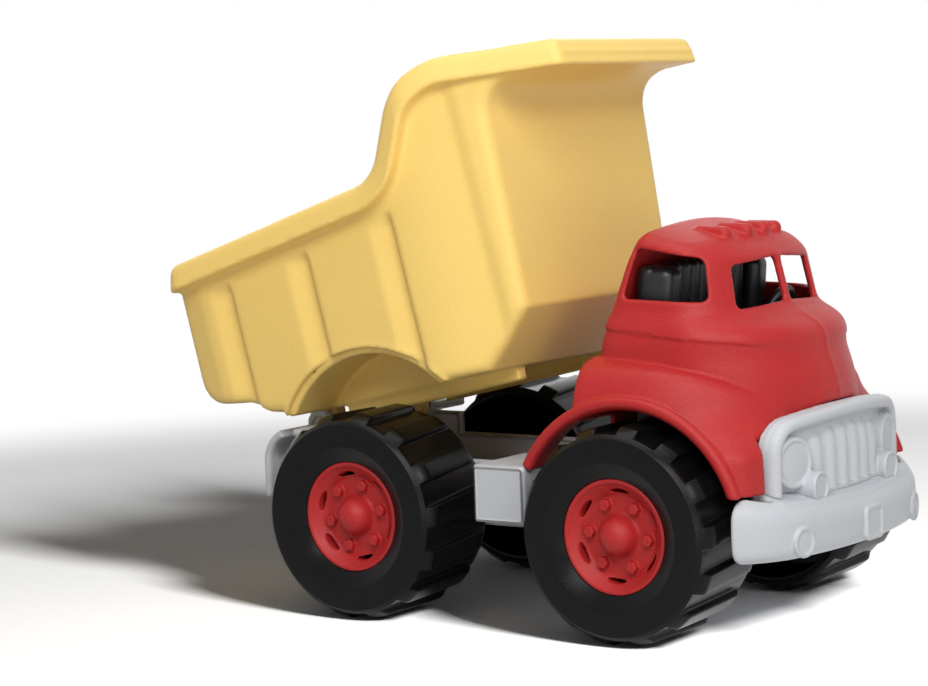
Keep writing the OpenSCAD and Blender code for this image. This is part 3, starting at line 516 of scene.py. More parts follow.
# dump bed: worked out lowered, then tipped about the hinge to its rest angle
bed = {
    "step": 1.27, "tilt": 13,
    "floorZ": axleZ + 33.3, "top": axleZ + 154, "wallX": frontX - 38, "tailX": rearX - 81,
    "wall": 3.2, "halfY": 66.0, "draft": 2.0,
    # from the side: rise of the tail, run and rise of the bevel under the front wall, lean of that wall
    "tailRise": 14, "bevelRun": 24, "bevelRise": 20.6, "frontLean": 3.4,
    # canopy and rim: the rim bends up this far behind the front wall and below the top
    "canopy": 34.0, "canopyDrop": 16.2, "noseHalf": 51.0, "rimBack": 59.5, "rimDrop": 39.2,
    "rimH": 10.5, "rimOut": 6.5, "rimSlant": 0.2, "rimTurn": 28.0, "rimCorner": 5.0,
    "rimRound": 4.5, "rimEdge": 1.2,
    "incline": 5.5, "steep": 63, "dip": 6, "bendLow": 17.0, "bendTop": 30.0,
    # grooves of the side wall, which turns in at the tail
    "grooveAt": (-113, -71, -27), "grooveLen": 9.5, "grooveStep": 2.4, "grooveDepth": 3.2,
    "tailTurn": -127.5, "tailIn": 4.4,
    "archR": 45.9, "archZ": axleZ + 5.8, "archRim": 2.4, "archStep": 0.4,
    # rails and hinge lugs under the floor
    "railStart": 16, "railEnd": 26, "railY": 33.75, "railZ": 71.7, "railHalf": (2.75, 3.1), "railRound": 0.8,
    "lugR": 6.4, "lugY": (25.4, 32.4), "lugRound": 0.6, "pinR": 3.1, "lowest": 62,
}
bedWallX, bedTop, bedFloor, bedTail = bed["wallX"], bed["top"], bed["floorZ"], bed["tailX"]
bedWall, noseX = bed["wall"], bedWallX + bed["canopy"]
rimX, rimZ = bedWallX - bed["rimBack"], bedTop - bed["rimDrop"]


# rim line from the side, moved down by d: tail slope, dip, steep rise, crown and canopy, joined by two arcs
def rimLine(d):
    inc, steep, dip = (math.radians(bed[k]) for k in ("incline", "steep", "dip"))
    low, top = bed["bendLow"], bed["bendTop"]
    c1 = np.array([rimX - low * math.sin(inc), rimZ + low * math.cos(inc)])
    e1 = c1 + low * np.array([math.sin(steep), -math.cos(steep)])
    rise = bedTop - rimZ - low * (math.cos(inc) - math.cos(steep)) - top * (1 - math.cos(steep))
    c2 = e1 + rise / math.sin(steep) * np.array([math.cos(steep), math.sin(steep)])
    c2 = c2 + top * np.array([math.sin(steep), -math.cos(steep)])
    e2 = c2 + (top - d) * np.array([math.sin(dip), math.cos(dip)])
    return np.concatenate([
        [(bedTail, rimZ - (rimX - bedTail) * math.tan(inc) - d / math.cos(inc))],
        arcPoints(c1, low + d, 270 + bed["incline"], 270 + bed["steep"], 12),
        arcPoints(c2, top - d, 90 + bed["steep"], 90 - bed["dip"], 16),
        [(noseX, e2[1] - (noseX - e2[0]) * math.tan(dip))]])


# outline of everything under a line
def underLine(line):
    return np.concatenate([line, [(bedWallX + 60, 0), (bedTail - 20, 0), (bedTail - 20, line[0, 1])]])


underTop, underRim = underLine(rimLine(0)), underLine(rimLine(bed["rimH"]))
underZ, tailZ = bedTop - bed["rimH"] - bed["canopyDrop"], bedFloor + bed["tailRise"]
bevelX, bendX, bendZ = bedWallX - bed["bevelRun"], bedWallX - bed["frontLean"], bedFloor + bed["bevelRise"]
bedLow = [(bedTail + 23, bedFloor + 10.3), (hingeX - 1, bedFloor + 4.5), (hingeX + 6, bedFloor + 3)]
tailCorner = [(bedTail, bedFloor + 60, 0), (bedTail, tailZ, 11), (bedTail + 24, bedFloor + 9.8, 0)]
bedOutside = np.concatenate([
    roundedOutline(tailCorner)[1:-1], bedLow,
    [(hingeX + 14, bedFloor + 2), (bevelX, bedFloor), (bendX, bendZ), (bedWallX, underZ)],
    arcPoints((bedWallX + 12, underZ), 12, 180, 100, 8),
    [(noseX - 2, bedTop - bed["rimH"])], rimLine(bed["rimH"] / 2)[::-1]])
bedInside = np.concatenate([
    [(bedTail - bedWall, tailZ + bedWall + 2), (bedTail + 6.5, tailZ + bedWall)], np.array(bedLow) + [0, bedWall],
    [(bevelX - bedWall / 2, bedFloor + bedWall), (bendX - bedWall, bendZ + bedWall / 4)],
    [(bedWallX - bedWall, underZ)], arcPoints((bedWallX + 18, underZ), 18 + bedWall, 180, 110, 8),
    [(noseX - 12, bedTop + 40), (bedTail - bedWall, bedTop + 40)]])
# rim from above: straight sides, then the corner bevel carried forward to the front edge of the canopy
rimY = bed["halfY"] + (bedTop - bedFloor) / 2 * math.tan(math.radians(bed["draft"])) + bed["rimOut"]
rimHalf = [(bedTail, rimY, 8), (bedWallX - bed["rimTurn"], rimY, 22), (noseX, bed["noseHalf"], bed["rimCorner"])]
rimPlan = roundedOutline([(x, -y, r) for x, y, r in rimHalf] + rimHalf[::-1], 8)
# how far the side wall lies in: each groove falls gently towards the front and then steps out; the tail turns in
grooveRows = [(bedTail - 6, bed["tailIn"]), (bed["tailTurn"], 0)]
for grooveX in bed["grooveAt"]:
    grooveRows += [(max(grooveX - bed["grooveLen"], grooveRows[-1][0] + 0.1), 0), (grooveX, bed["grooveDepth"]),
                   (grooveX + bed["grooveStep"], 0)]
sideInset = smoothRows(grooveRows + [(60, 0)], 0.8)
# bevel of the front corners, with a groove of its own
cornerInset = smoothRows([(-18, 0), (8, 1.8), (13, 0.2), (60, 0)], 1.0)
bevelWay = np.array([0.2918, 0.9545, -0.0610])
bevelAt = np.array([bedWallX, bed["halfY"] - 11, bendZ])


# distance from the plain side wall, which leans out by the draft
def sideWall(side, z):
    draft = math.radians(bed["draft"])
    return (side - bed["halfY"] - (z - bedFloor + 1) * math.tan(draft)) * math.cos(draft)


def bedWalls(x, side, z, depth, fade):
    tail = sideInset(np.minimum(x, bed["tailTurn"]))[0]
    wallSide = sideWall(side, z) + tail + (sideInset(x)[0] - tail) * fade
    bevel = (x - bevelAt[0]) * bevelWay[0] + (side - bevelAt[1]) * bevelWay[1] + (z - bevelAt[2]) * bevelWay[2]
    bevel = bevel + cornerInset(x)[0]
    return softMax(wallSide + depth, bevel + depth, 5)


def bedField(x, y, z):
    b, side = bed, np.abs(y)
    overLow = outlineField(x, z, underRim)
    fade = softStep((-overLow - 3) / 6)
    walls = bedWalls(x, side, z, 0, fade)
    out = softMax(outlineField(x, z, bedOutside), walls, 4.5)
    # the band of the rim leans in towards its round top and has a sharp lower edge
    band = outlineField(x, y, rimPlan) + b["rimSlant"] * np.clip(overLow, 0, b["rimH"])
    rim = softMax(softMax(outlineField(x, z, underTop), band, b["rimRound"]), -overLow, b["rimEdge"])
    out = softMin(out, rim, 1.5)
    hollow = softMax(outlineField(x, z, bedInside), bedWalls(x, side, z, bedWall, fade), 5)
    out = softMax(out, -hollow, 1.6)
    # wheel houses inside, the arches under them and a stepped edge round each arch
    fromArch = np.hypot(x - rearX, z - b["archZ"])
    house = allOf(fromArch - b["archR"] - bedWall, cab["trayHalf"] - bedWall - side, walls + 1, bedFloor + 1 - z)
    out = softMin(out, house, 2.5)
    arch = np.maximum(fromArch - b["archR"], cab["trayHalf"] - side)
    stepped = -b["grooveDepth"] + b["archStep"] - sideWall(side, z)
    stepped = np.maximum(fromArch - b["archR"] - b["archRim"], stepped)
    out = softMax(out, -np.minimum(arch, stepped), 0.9)
    # rails and hinge lugs under the floor
    railX, railLong = midHalf(hingeX + b["railStart"], bedWallX - b["railEnd"])
    rails = boxField(x, side, z, (railX, b["railY"], b["railZ"]), (railLong, *b["railHalf"]), b["railRound"])
    fromHinge = np.hypot(x - hingeX, z - hingeZ)
    lugMid, lugHalf = midHalf(*b["lugY"])
    lug = np.minimum(rodField(fromHinge, side, b["lugR"], *b["lugY"], b["lugRound"]),
                     boxField(x, side, z, (hingeX + 1.6, lugMid, hingeZ + 5), (4.8, lugHalf, 5), b["lugRound"]))
    out = softMin(out, np.minimum(rails, lug), 1.0)
    return np.maximum(out, b["pinR"] - fromHinge)


points, quads = skinField(bedField, (bedTail - 1, -rimY - 1, bed["lowest"]), (noseX + 1, rimY + 1, bedTop + 1),
                          bed["step"])
tilt = math.radians(bed["tilt"])
dx, dz = points[:, 0] - hingeX, points[:, 2] - hingeZ
points = np.stack([hingeX + dx * math.cos(tilt) - dz * math.sin(tilt), points[:, 1],
                   hingeZ + dx * math.sin(tilt) + dz * math.cos(tilt)], 1)
putPiece("dumpBed", points, quads, "bed", ["dump_bed"], "yellow_plastic")

# tyres: a profile of radius and depth turned round the axle, with slanted lugs standing out of the tread
tyre = {
    "radius": axleZ - 0.1, "width": faceY - tyreIn, "back": 43, "chamfer": 1.7, "shoulderR": 27.7,
    "hubR": 21.55, "lip": 3.3, "seat": 12.35, "web": 4, "sleeve": 8.55, "wall": 4.0,
    "lugs": 14, "lugHeight": 2.6, "lugSkew": 7, "lugShare": 0.49, "lugFlank": 0.04,
    "rampStart": 1.2, "rampLen": 5.2,
    # depths at which the tread has a row of points, denser where the lugs rise
    "treadRows": (5.2, 6.2, 7.4, 14, 21.5, 29, 35.6, 36.8, 37.8),
}
treadR, webZ = tyre["radius"] - tyre["lugHeight"], tyre["seat"] + tyre["web"]
insideR = treadR - tyre["wall"]
tyreProfile = roundedOutline([
    (tyre["hubR"], tyre["seat"], 0.3), (tyre["hubR"], tyre["lip"], 0.4), (tyre["shoulderR"], 0, 1.0),
    (treadR - tyre["chamfer"], 0, 0.9), (treadR, tyre["chamfer"], 0.6),
    *[(treadR, depth, 0) for depth in tyre["treadRows"]], (treadR, tyre["back"] - tyre["chamfer"], 0.6),
    (treadR - tyre["chamfer"], tyre["back"], 0.9), (insideR, tyre["back"], 0.6), (insideR, webZ, 1.5),
    (tyre["sleeve"], webZ, 0.3), (tyre["sleeve"], tyre["seat"], 0.3)], 4)
# share of one lug pitch, denser at the two flanks of the lug
pitchShare = np.array([0, 0.012, 0.024, 0.036, 0.05, 0.15, 0.25, 0.35, 0.44, 0.454, 0.466, 0.478, 0.49,
                       0.56, 0.64, 0.72, 0.80, 0.88, 0.94, 0.975])


# radius = profile + lug height x ramp over the shoulder x lug mask; angle is sheared along the depth
def tyreGrid():
    r, depth = tyreProfile.T
    turns = (np.arange(tyre["lugs"])[:, None] + pitchShare[None]).ravel() / tyre["lugs"]
    share = np.tile(pitchShare, tyre["lugs"])
    mask = softStep(share / tyre["lugFlank"]) * softStep((tyre["lugShare"] - share) / tyre["lugFlank"])
    shoulder = np.minimum(depth, tyre["width"] - depth)
    ramp = np.where(r > treadR - 1e-6, softStep((shoulder - tyre["rampStart"]) / tyre["rampLen"]), 0)
    radius = r[None] + tyre["lugHeight"] * mask[:, None] * ramp[None]
    lean = (depth - tyre["width"] / 2) * math.tan(math.radians(tyre["lugSkew"])) / tyre["radius"]
    return radius, 2 * math.pi * turns[:, None] + lean[None], np.broadcast_to(depth, radius.shape)


wheels = [(end, hand) for end in ("front", "rear") for hand in ("left", "right")]
wheelX = {"front": frontX, "rear": rearX}


# a wheel on its axle, with its outer face away from the middle of the truck
def placeWheel(radius, angle, depth, end, hand):
    flip = 1 if hand == "left" else -1
    return np.stack([wheelX[end] + radius * np.cos(angle), flip * (faceY - depth),
                     axleZ + flip * -radius * np.sin(angle)], -1)


for end, hand in wheels:
    grid = placeWheel(*tyreGrid(), end, hand)
    putPiece(end + hand.title() + "Tyre", grid.reshape(-1, 3), ringFaces(*grid.shape[:2])[:, ::-1],
             end + "_wheelset", ["tyre_" + end + "_" + hand], "tyre_plastic")

# hubs: rim lip, cone, flat disc with a dome, hex bolts, thin slots, and the sleeve over the axle
hub = {
    "step": 0.45, "radius": 21.5, "disc": 8.3, "back": 12.3, "domeR": 7.4, "domeSet": 1,
    # depth of the outer face along the radius
    "face": [(-2, 8.3), (15.0, 8.3), (19.4, 4.3), (20.1, 3.3), (24, 3.3)],
    "bolts": 6, "boltRing": 12.4, "boltR": 2.4, "boltTop": 2.7,
    "slotRing": 16.8, "slotHalf": 0.85, "slotTurn": 14,
    "sleeveR": 8.5, "sleeveEnd": faceY - 37.1, "axleR": 4.55, "socket": 10.3,
    "phase": {"front": -4, "rear": 13},
}
hubFace = smoothRows(hub["face"], 0.35, 0.05)


# drawn with the axle along z and the outer face up, so that depth is counted down
def hubField(x, y, z):
    depth, spoke = -z, np.hypot(x, y)
    dish = (hubFace(spoke)[0] - depth) * 0.8
    disc = softMax(softMax(spoke - hub["radius"], depth - hub["back"], 0.6), dish, 0.7)
    dome = np.sqrt(spoke ** 2 + (depth - hub["disc"] + hub["domeSet"]) ** 2) - hub["domeR"]
    dome = np.maximum(dome, depth - hub["disc"] - 1)
    out = softMin(disc, dome, 2.2)
    # one sixth of the ring, repeated: a bolt in the middle of it and half a slot at each end
    turn = np.arctan2(y, x)
    sixth = 2 * math.pi / hub["bolts"]
    local = (turn + sixth / 2) % sixth - sixth / 2
    u, v = spoke * np.cos(local) - hub["boltRing"], spoke * np.sin(local)
    hexa = np.maximum(np.abs(v), np.abs(u) * 0.866 + np.abs(v) * 0.5) - hub["boltR"] * 0.866
    bolt = softMax(hexa, np.abs(depth - hub["disc"]) - hub["boltTop"], 0.5)
    out = softMin(out, bolt, 0.7)
    between = np.degrees((turn % sixth) - sixth / 2)
    slotHalf = hub["slotHalf"] * np.sqrt(np.maximum(1 - (between / hub["slotTurn"]) ** 2, 0)) + 1e-3
    slot = np.abs(spoke - hub["slotRing"]) - slotHalf
    slot = np.maximum(slot, (np.abs(between) - hub["slotTurn"]) * 0.3)
    out = softMax(out, -slot, 0.35)
    sleeveMid, sleeveHalf = midHalf(hub["back"], hub["sleeveEnd"])
    sleeve = np.maximum(spoke - hub["sleeveR"], np.abs(depth - sleeveMid) - sleeveHalf - 1)
    out = softMin(out, np.where(depth > hub["back"] - 2, sleeve, 50), 0.8)
    return np.maximum(out, -np.maximum(spoke - hub["axleR"], hub["socket"] - depth))


points, quads = skinField(hubField, (-22, -22, -hub["sleeveEnd"]), (22, 22, 0.5), hub["step"])
hubR, hubTurn = np.hypot(points[:, 0], points[:, 1]), np.arctan2(points[:, 1], points[:, 0])
for end, hand in wheels:
    turn = hubTurn + math.radians(hub["phase"][end]) * (-1 if hand == "left" else 1)
    putPiece(end + hand.title() + "Hub", placeWheel(hubR, turn, -points[:, 2], end, hand), quads,
             end + "_wheelset", ["hub_" + end + "_" + hand], "red_plastic")

# front bumper: a bowed band with round ends, a shelf behind it, two lights and a bare plate
bumper = {
    "step": 0.75, "x": frontX + 66, "bow": 200.0, "thick": 6.0, "z": axleZ - 9.2, "height": 24.0,
    "turnY": 45.0, "endR": 42.65, "back": 103.55, "crown": 0.006, "topRound": 7, "lowRound": 5,
    "noseX": 103.15, "shelf": 1.5, "shelfSet": 3.5, "padHalf": 36.5, "padSet": 4, "padUp": 2,
    "light": {"r": 5.7, "ringSet": 0.8, "ringLow": -0.05, "ringTube": 0.95,
              "lensSet": 1.5, "lensLow": 1, "lensHalf": 1.5, "dome": 0.02},
    "lightY": 45.6, "lightUp": 0.9,
    "plateHalf": 7.0, "plateH": 13.0, "plateUp": 1.1, "plateRound": 2.6, "plateOut": 0.98, "plateEdge": 1.6,
}


def bumperField(x, y, z):
    b, side, up = bumper, np.abs(y), z - bumper["z"]
    centreX = b["x"] - b["bow"]
    # past the turn the bow goes over into a tighter arc that touches it there
    a = math.asin(b["turnY"] / b["bow"])
    endX, endY = centreX + (b["bow"] - b["endR"]) * math.cos(a), (b["bow"] - b["endR"]) * math.sin(a)
    turned = (side - endY) * math.cos(a) > (x - endX) * math.sin(a)
    out = np.where(turned, np.hypot(x - endX, side - endY) - b["endR"], np.hypot(x - centreX, y) - b["bow"])
    face = out + b["crown"] * (z - (b["z"] + b["height"] / 2)) ** 2
    top = np.maximum(overBumper(x, z), up - b["height"])
    front = softMax(softMax(face, top, b["topRound"]), b["z"] - z, b["lowRound"])
    band = softMax(softMax(front, -out - b["thick"], 2), b["back"] - x, 2.2)
    # shelf under the grille and the pad on the front of the tray
    shelf = allOf(np.abs(top + b["shelf"]) - b["shelf"], out + b["shelfSet"], b["noseX"] - x)
    shelf = softMax(shelf, side - grilleShape["half"] - 2, 1.5)
    pad = allOf(out + b["padSet"], b["noseX"] - x, side - b["padHalf"], b["z"] + b["padUp"] - z, top)
    body = softMin(softMin(band, shelf, 1.5), pad, 1)
    # round light on the bowed face
    a = math.asin(b["lightY"] / b["bow"])
    raised = (x - centreX) * math.cos(a) + side * math.sin(a) - b["bow"]
    across = -(x - centreX) * math.sin(a) + side * math.cos(a)
    spoke = np.hypot(across, up - b["light"]["r"] - b["lightUp"])
    body = softMin(body, lampField(spoke, raised, b["light"]), 0.4)
    # bare plate with a raised edge
    tall = np.abs(up - b["plateUp"] - b["plateH"] / 2) - b["plateH"] / 2
    square = cornerField(side - b["plateHalf"], tall, b["plateRound"])
    plate = softMax(square, np.abs(x - b["x"]) - b["plateOut"], 0.5)
    plate = softMax(plate, -np.maximum(square + b["plateEdge"], b["x"] + 0.2 - x), 0.5)
    return softMin(body, plate, 0.5)


points, quads = skinField(bumperField, (bumper["noseX"] - 1, -72, bumper["z"] - 1),
                          (bumper["x"] + 1.2, 72, bumper["z"] + bumper["height"] + 1), bumper["step"])
putPiece("frontBumper", points, quads, "truck", ["front_bumper"], "grey_plastic")

# grille: a bowed plate with a round bead along its edge, head lamps, fog lamps and upright bars
grille = {
    "step": 0.6, "bead": 2.5, "beadSet": 1.6, "beadLow": 3.5, "beadIn": 9, "recess": 3.2,
    "lamp": {"r": 9.4, "ringSet": 0.9, "ringLow": 0.6, "ringTube": 1.1,
             "lensSet": 1.5, "lensLow": 3, "lensHalf": 3.2, "dome": 0.008},
    "lampY": 38.0, "lampH": 9.9, "cheek": 0.6,
    "barPitch": 9.0, "barR": 3.7, "barDrop": 7.0, "barArch": 0.004, "leanFrom": 9, "lean": 0.05, "ledge": 1.7,
    "fogR": 5.8, "fogY": 29.0, "fogH": 0.2, "fogReach": (-8, 1.9), "fogWall": 1.1, "fogLens": 1.1,
}


def grilleField(x, y, z):
    g, shape, side = grille, grilleShape, np.abs(y)
    h, ahead = z - shape["z"], x - shape["x"]
    out = np.hypot(x - (shape["x"] - shape["bow"]), y) - shape["bow"]
    edge = outlineField(y, h, grilleOutline(0))
    mid, half = midHalf(g["recess"], shape["thick"])
    plate = np.maximum(edge, np.abs(out + mid) - half)
    bead = np.hypot(edge + g["bead"], (out + g["beadSet"]) * 0.85) - g["bead"]
    # low down the bead runs at the sides only
    bead = np.where(h < g["beadLow"], np.maximum(bead, 3.4 - side + shape["half"] - g["beadIn"]), bead)
    body = softMin(plate, bead, 1.6)
    # cheek round each head lamp
    spoke = np.hypot(side - g["lampY"], h - g["lampH"])
    body = softMin(body, rodField(spoke, out, g["lamp"]["r"] + g["cheek"], -5, -1.0, 1.0), 1.2)
    body = softMin(body, lampField(spoke, out, g["lamp"]), 0.4)
    # bars: upright rods that lean back into the recess at their round tops
    barTop = shape["height"] - g["barDrop"] - g["barArch"] * y * y
    across = y - g["barPitch"] * (np.clip(np.round(y / g["barPitch"] - 0.5), -3, 2) + 0.5)
    lean = g["lean"] * np.maximum(h - barTop + g["leanFrom"], 0) ** 1.6
    over = np.maximum(h - barTop + g["barR"], 0)
    bar = np.sqrt(across ** 2 + (out + g["barR"] + 0.3 + lean) ** 2 + over ** 2) - g["barR"]
    bar = np.maximum(bar, -out - shape["thick"])
    ledge = allOf(side - g["fogY"], h + g["ledge"], np.abs(out + 3.2) - 2.8)
    body = softMin(softMin(body, bar, 0.8), ledge, 0.8)
    # fog lamps: short tubes with a lens set in
    fog = np.hypot(side - g["fogY"], h - g["fogH"])
    tube = rodField(fog, ahead, g["fogR"], *g["fogReach"], 0.7)
    tube = softMax(tube, -rodField(fog, ahead, g["fogR"] - g["fogWall"], g["fogLens"], 5, 0.2), 0.4)
    body = softMin(body, tube, 0.8)
    return softMax(body, 0.05 - overBumper(x, z), 0.4)


points, quads = skinField(grilleField, (grilleShape["x"] - 17, -53, grilleShape["z"] - 6),
                          (grilleShape["x"] + 2.5, 53, grilleShape["z"] + 28), grille["step"])
putPiece("radiatorGrille", points, quads, "truck", ["radiator_grille"], "grey_plastic")

# chassis: an open tray with bearing webs, side steps and a rear bumper whose ends curl over the tyres
chassisLow, chassisHigh = nodeBox("chassis_frame")
chassis = {
    "step": 1.0, "half": 36.5, "wall": 3.5, "deck": axleZ + 27.3, "belly": axleZ - 7.2, "x0": chassisLow[0] + 2,
    "x1": chassisHigh[0], "bearing": 8.0, "bearingTop": axleZ + 8.5, "axleR": 4.58,
    "earR": 6.4, "earDrop": 2, "earHalf": 4, "earRound": 0.6, "pinR": 3.05,
    "sillX": (rearX - 24, frontX - 28), "sillZ": axleZ + 18.6,
    "stepX": (frontX - 67, frontX - 44), "stepY": 70.0, "stepTop": axleZ + 22.3, "stepH": 22.0,
    "rearX": chassisLow[0], "rearHalf": 59.0, "rearLow": axleZ + 1.3, "rearTop": axleZ + 30.3, "bend": 14.0,
    "sideRound": 2.5, "lowRound": 2.0,
}


def chassisField(x, y, z):
    c, side, skin = chassis, np.abs(y), chassis["wall"] / 2
    (trayX, trayLong), (trayZ, trayTall) = midHalf(c["x0"], c["x1"]), midHalf(c["belly"], c["deck"])
    tray = boxField(x, y, z, (trayX, 0, trayZ), (trayLong, c["half"], trayTall), 1.0)
    inner = c["half"] - c["wall"]
    room = allOf(side - inner, c["belly"] + c["wall"] - z, c["x0"] + c["wall"] - x, x - c["x1"] + c["wall"])
    fromAxle = np.minimum(np.abs(x - frontX), np.abs(x - rearX))
    webs = fromAxle - c["bearing"]
    room = np.maximum(room, np.minimum(-webs, np.maximum(c["bearingTop"] - z, side - inner)))
    inWeb = np.maximum(room, -np.maximum(webs, z - c["bearingTop"]))
    room = np.where((webs < 0) & (z < c["bearingTop"]), inWeb, room)
    fromHinge = np.hypot(x - hingeX, z - hingeZ)
    ears = np.minimum(rodField(fromHinge, side, c["earR"], inner, c["half"], c["earRound"]),
                      boxField(x, side, z, (hingeX, inner + skin, c["deck"] - c["earDrop"]),
                               (c["earR"], skin, c["earHalf"]), c["earRound"]))
    # the tray walls are lower between the rear wheels and the cab
    mid, half = midHalf(*c["sillX"])
    sill = np.maximum(np.abs(x - mid) - half, c["sillZ"] - z)
    out = softMin(softMax(softMax(tray, -room, 1.0), -sill, 1.0), ears, 0.8)
    # side steps, hollow from below
    (mid, half), (stepMid, stepHalf) = midHalf(*c["stepX"]), midHalf(c["half"], c["stepY"])
    stepZ = c["stepTop"] - c["stepH"] / 2
    block = boxField(x, side, z, (mid, stepMid - 1, stepZ), (half, stepHalf + 1, c["stepH"] / 2), 1.0)
    pocket = boxField(x, side, z, (mid, stepMid, stepZ - c["wall"] - 2),
                      (half - c["wall"], stepHalf - c["wall"], c["stepH"] / 2 + 2), 1)
    out = softMin(out, softMax(block, -pocket, 0.8), 1.2)
    # rear bumper: a plate that follows an upright line and a quarter bend
    bx, bz = x - c["rearX"] - c["bend"], z - c["rearTop"] + c["bend"]
    upright = np.maximum(np.abs(x - c["rearX"] - skin) - skin, bz)
    curl = np.abs(np.hypot(bx, bz) - c["bend"] + skin) - skin
    level = np.maximum(np.abs(z - c["rearTop"] + skin) - skin, bx - 0.4 * c["bend"])
    sheet = np.where(bz < 0, upright, np.where(bx < 0, curl, level))
    sheet = softMax(sheet, side - c["rearHalf"], c["sideRound"])
    sheet = softMax(sheet, c["rearLow"] - z, c["lowRound"])
    overTyre = np.maximum(np.hypot(x - rearX, z - axleZ) - cab["archR"], cab["trayHalf"] - side)
    sheet = softMax(sheet, -overTyre, 0.8)
    sheet = np.where(side < c["half"] - 1, np.maximum(sheet, z - c["deck"]), sheet)
    out = softMin(out, sheet, 1.0)
    # bores for the axles and the hinge pins
    out = np.maximum(out, c["axleR"] - np.hypot(fromAxle, z - axleZ))
    return np.maximum(out, c["pinR"] - fromHinge)


points, quads = skinField(chassisField, (chassisLow[0] - 1, -71, chassis["belly"] - 1),
                          (chassis["x1"] + 1, 71, hingeZ + 8), chassis["step"])
putPiece("chassisFrame", points, quads, "truck", ["chassis_frame"], "grey_plastic")

# seat bench with a ribbed back rest, and the dashboard with its steering wheel
seat = {
    "step": 0.8, "x": frontX - 14, "half": 39.0, "len": 26.0, "floor": axleZ + 53, "h": 16.0, "top": axleZ + 96,
    "pedestal": 36.5, "deck": axleZ + 27.4, "plate": 1.5, "back": 8.0, "backLean": 0.075,
    "ribs": 8, "ribPitch": 7.0, "ribR": 3.3, "ribSet": 0.9, "bolster": 11.0, "bolsterX": 15.0,
}


def seatField(x, y, z):
    s, side = seat, np.abs(y)
    midX, halfX = s["x"] + s["len"] / 2, s["len"] / 2
    footZ, footHalf = midHalf(s["deck"], s["floor"])
    pedestal = boxField(x, y, z, (midX, 0, footZ), (halfX, s["pedestal"], footHalf), 0.8)
    plate = boxField(x, y, z, (midX + 6, 0, s["floor"] + s["plate"]), (halfX + 8, s["half"] + 1, s["plate"]), 0.8)
    cushion = boxField(x, y, z, (midX, 0, s["floor"] + s["h"] / 2 + 1), (halfX, s["half"], s["h"] / 2 - 1), 3)
    # the back rest follows the slope of the back of the cab
    leant = x - s["backLean"] * (z - s["floor"])
    restZ, restHalf = midHalf(s["floor"], s["top"])
    back = boxField(leant, y, z, (s["x"] + s["back"] / 2 - 0.6, 0, restZ),
                    (s["back"] / 2, s["half"], restHalf), 3.2)
    bolster = boxField(leant, side, z, (s["x"] + s["bolsterX"] / 2, s["half"] - s["bolster"] / 2, restZ),
                       (s["bolsterX"] / 2, s["bolster"] / 2, restHalf - 0.5), 4.2)
    # ribs: rounded rolls side by side, repeated across the bench
    pitch = s["ribPitch"]
    row = np.clip(np.round(y / pitch - 0.5), -s["ribs"] / 2, s["ribs"] / 2 - 1) + 0.5
    ribZ, ribHalf = midHalf(s["floor"] + s["h"], s["top"])
    over = np.abs(z - ribZ) - ribHalf + 2
    rib = (y - row * pitch) ** 2 + (leant - s["x"] - s["back"] + s["ribSet"]) ** 2 + np.maximum(over, 0) ** 2
    out = softMin(softMin(pedestal, plate, 1), softMin(cushion, np.minimum(back, bolster), 2), 1)
    return softMin(out, np.sqrt(rib) - s["ribR"], 0.5)


points, quads = skinField(seatField, (seat["x"] - 3, -41, seat["deck"] - 1),
                          (seat["x"] + 44, 41, seat["top"] + 1), seat["step"])
putPiece("seatBench", points, quads, "truck", ["seat_bench"], "interior_plastic")

dash = {
    "step": 0.7, "x": frontX + 19, "z": axleZ + 77.5, "half": 34.0, "foot": axleZ + 56.1, "len": 17,
    "wheelY": 18.0, "wheelR": 9.0, "rimR": 1.6, "lean": 70, "barHalf": (1.5, 1.0), "postR": 2.2, "postLen": 6,
}
dashX, dashZ, dashFoot = dash["x"], dash["z"], dash["foot"]
dashSide = roundedOutline([
    (dashX + 3, dashFoot, 0), (dashX + dash["len"], dashFoot, 1), (dashX + dash["len"], dashZ - 13.5, 2),
    (dashX + 5, dashZ - 1.5, 3), (dashX, dashZ, 1.5), (dashX, dashZ - 5.5, 1.5)])


def dashField(x, y, z):
    d = dash
    body = softMax(outlineField(x, z, dashSide), np.abs(y) - d["half"], 2)
    # steering wheel: a ring with one bar and a post, facing the seat
    a = math.radians(d["lean"])
    px, pz, across = x - dashX + 0.5, z - dashZ + 2.5, y - d["wheelY"]
    up, out = px * math.cos(a) + pz * math.sin(a), -px * math.sin(a) + pz * math.cos(a)
    spoke = np.hypot(up, across)
    rim = np.hypot(spoke - d["wheelR"], out) - d["rimR"]
    bar = boxField(up, across, out, (0, 0, 0), (d["barHalf"][0], d["wheelR"], d["barHalf"][1]), 0.6)
    post = rodField(spoke, out, d["postR"], -d["postLen"], 0.6, 0.5)
    return softMin(body, softMin(rim, np.minimum(bar, post), 0.6), 0.5)


points, quads = skinField(dashField, (dashX - 6, -35, dashFoot - 1), (dashX + 18, 35, dashZ + 8), dash["step"])
putPiece("dashboard", points, quads, "truck", ["dashboard"], "interior_plastic")


# 1 for rays that show the backdrop: from the camera, off a glossy surface or through a clear one
def backdropRays(tree):
    rays = addNode(tree, "ShaderNodeLightPath").outputs
    out = rays["Is Camera Ray"]
    for kind in ("Is Glossy Ray", "Is Transmission Ray"):
        out = addNode(tree, "ShaderNodeMath", {0: out, 1: rays[kind]}, operation="MAXIMUM").outputs[0]
    return out


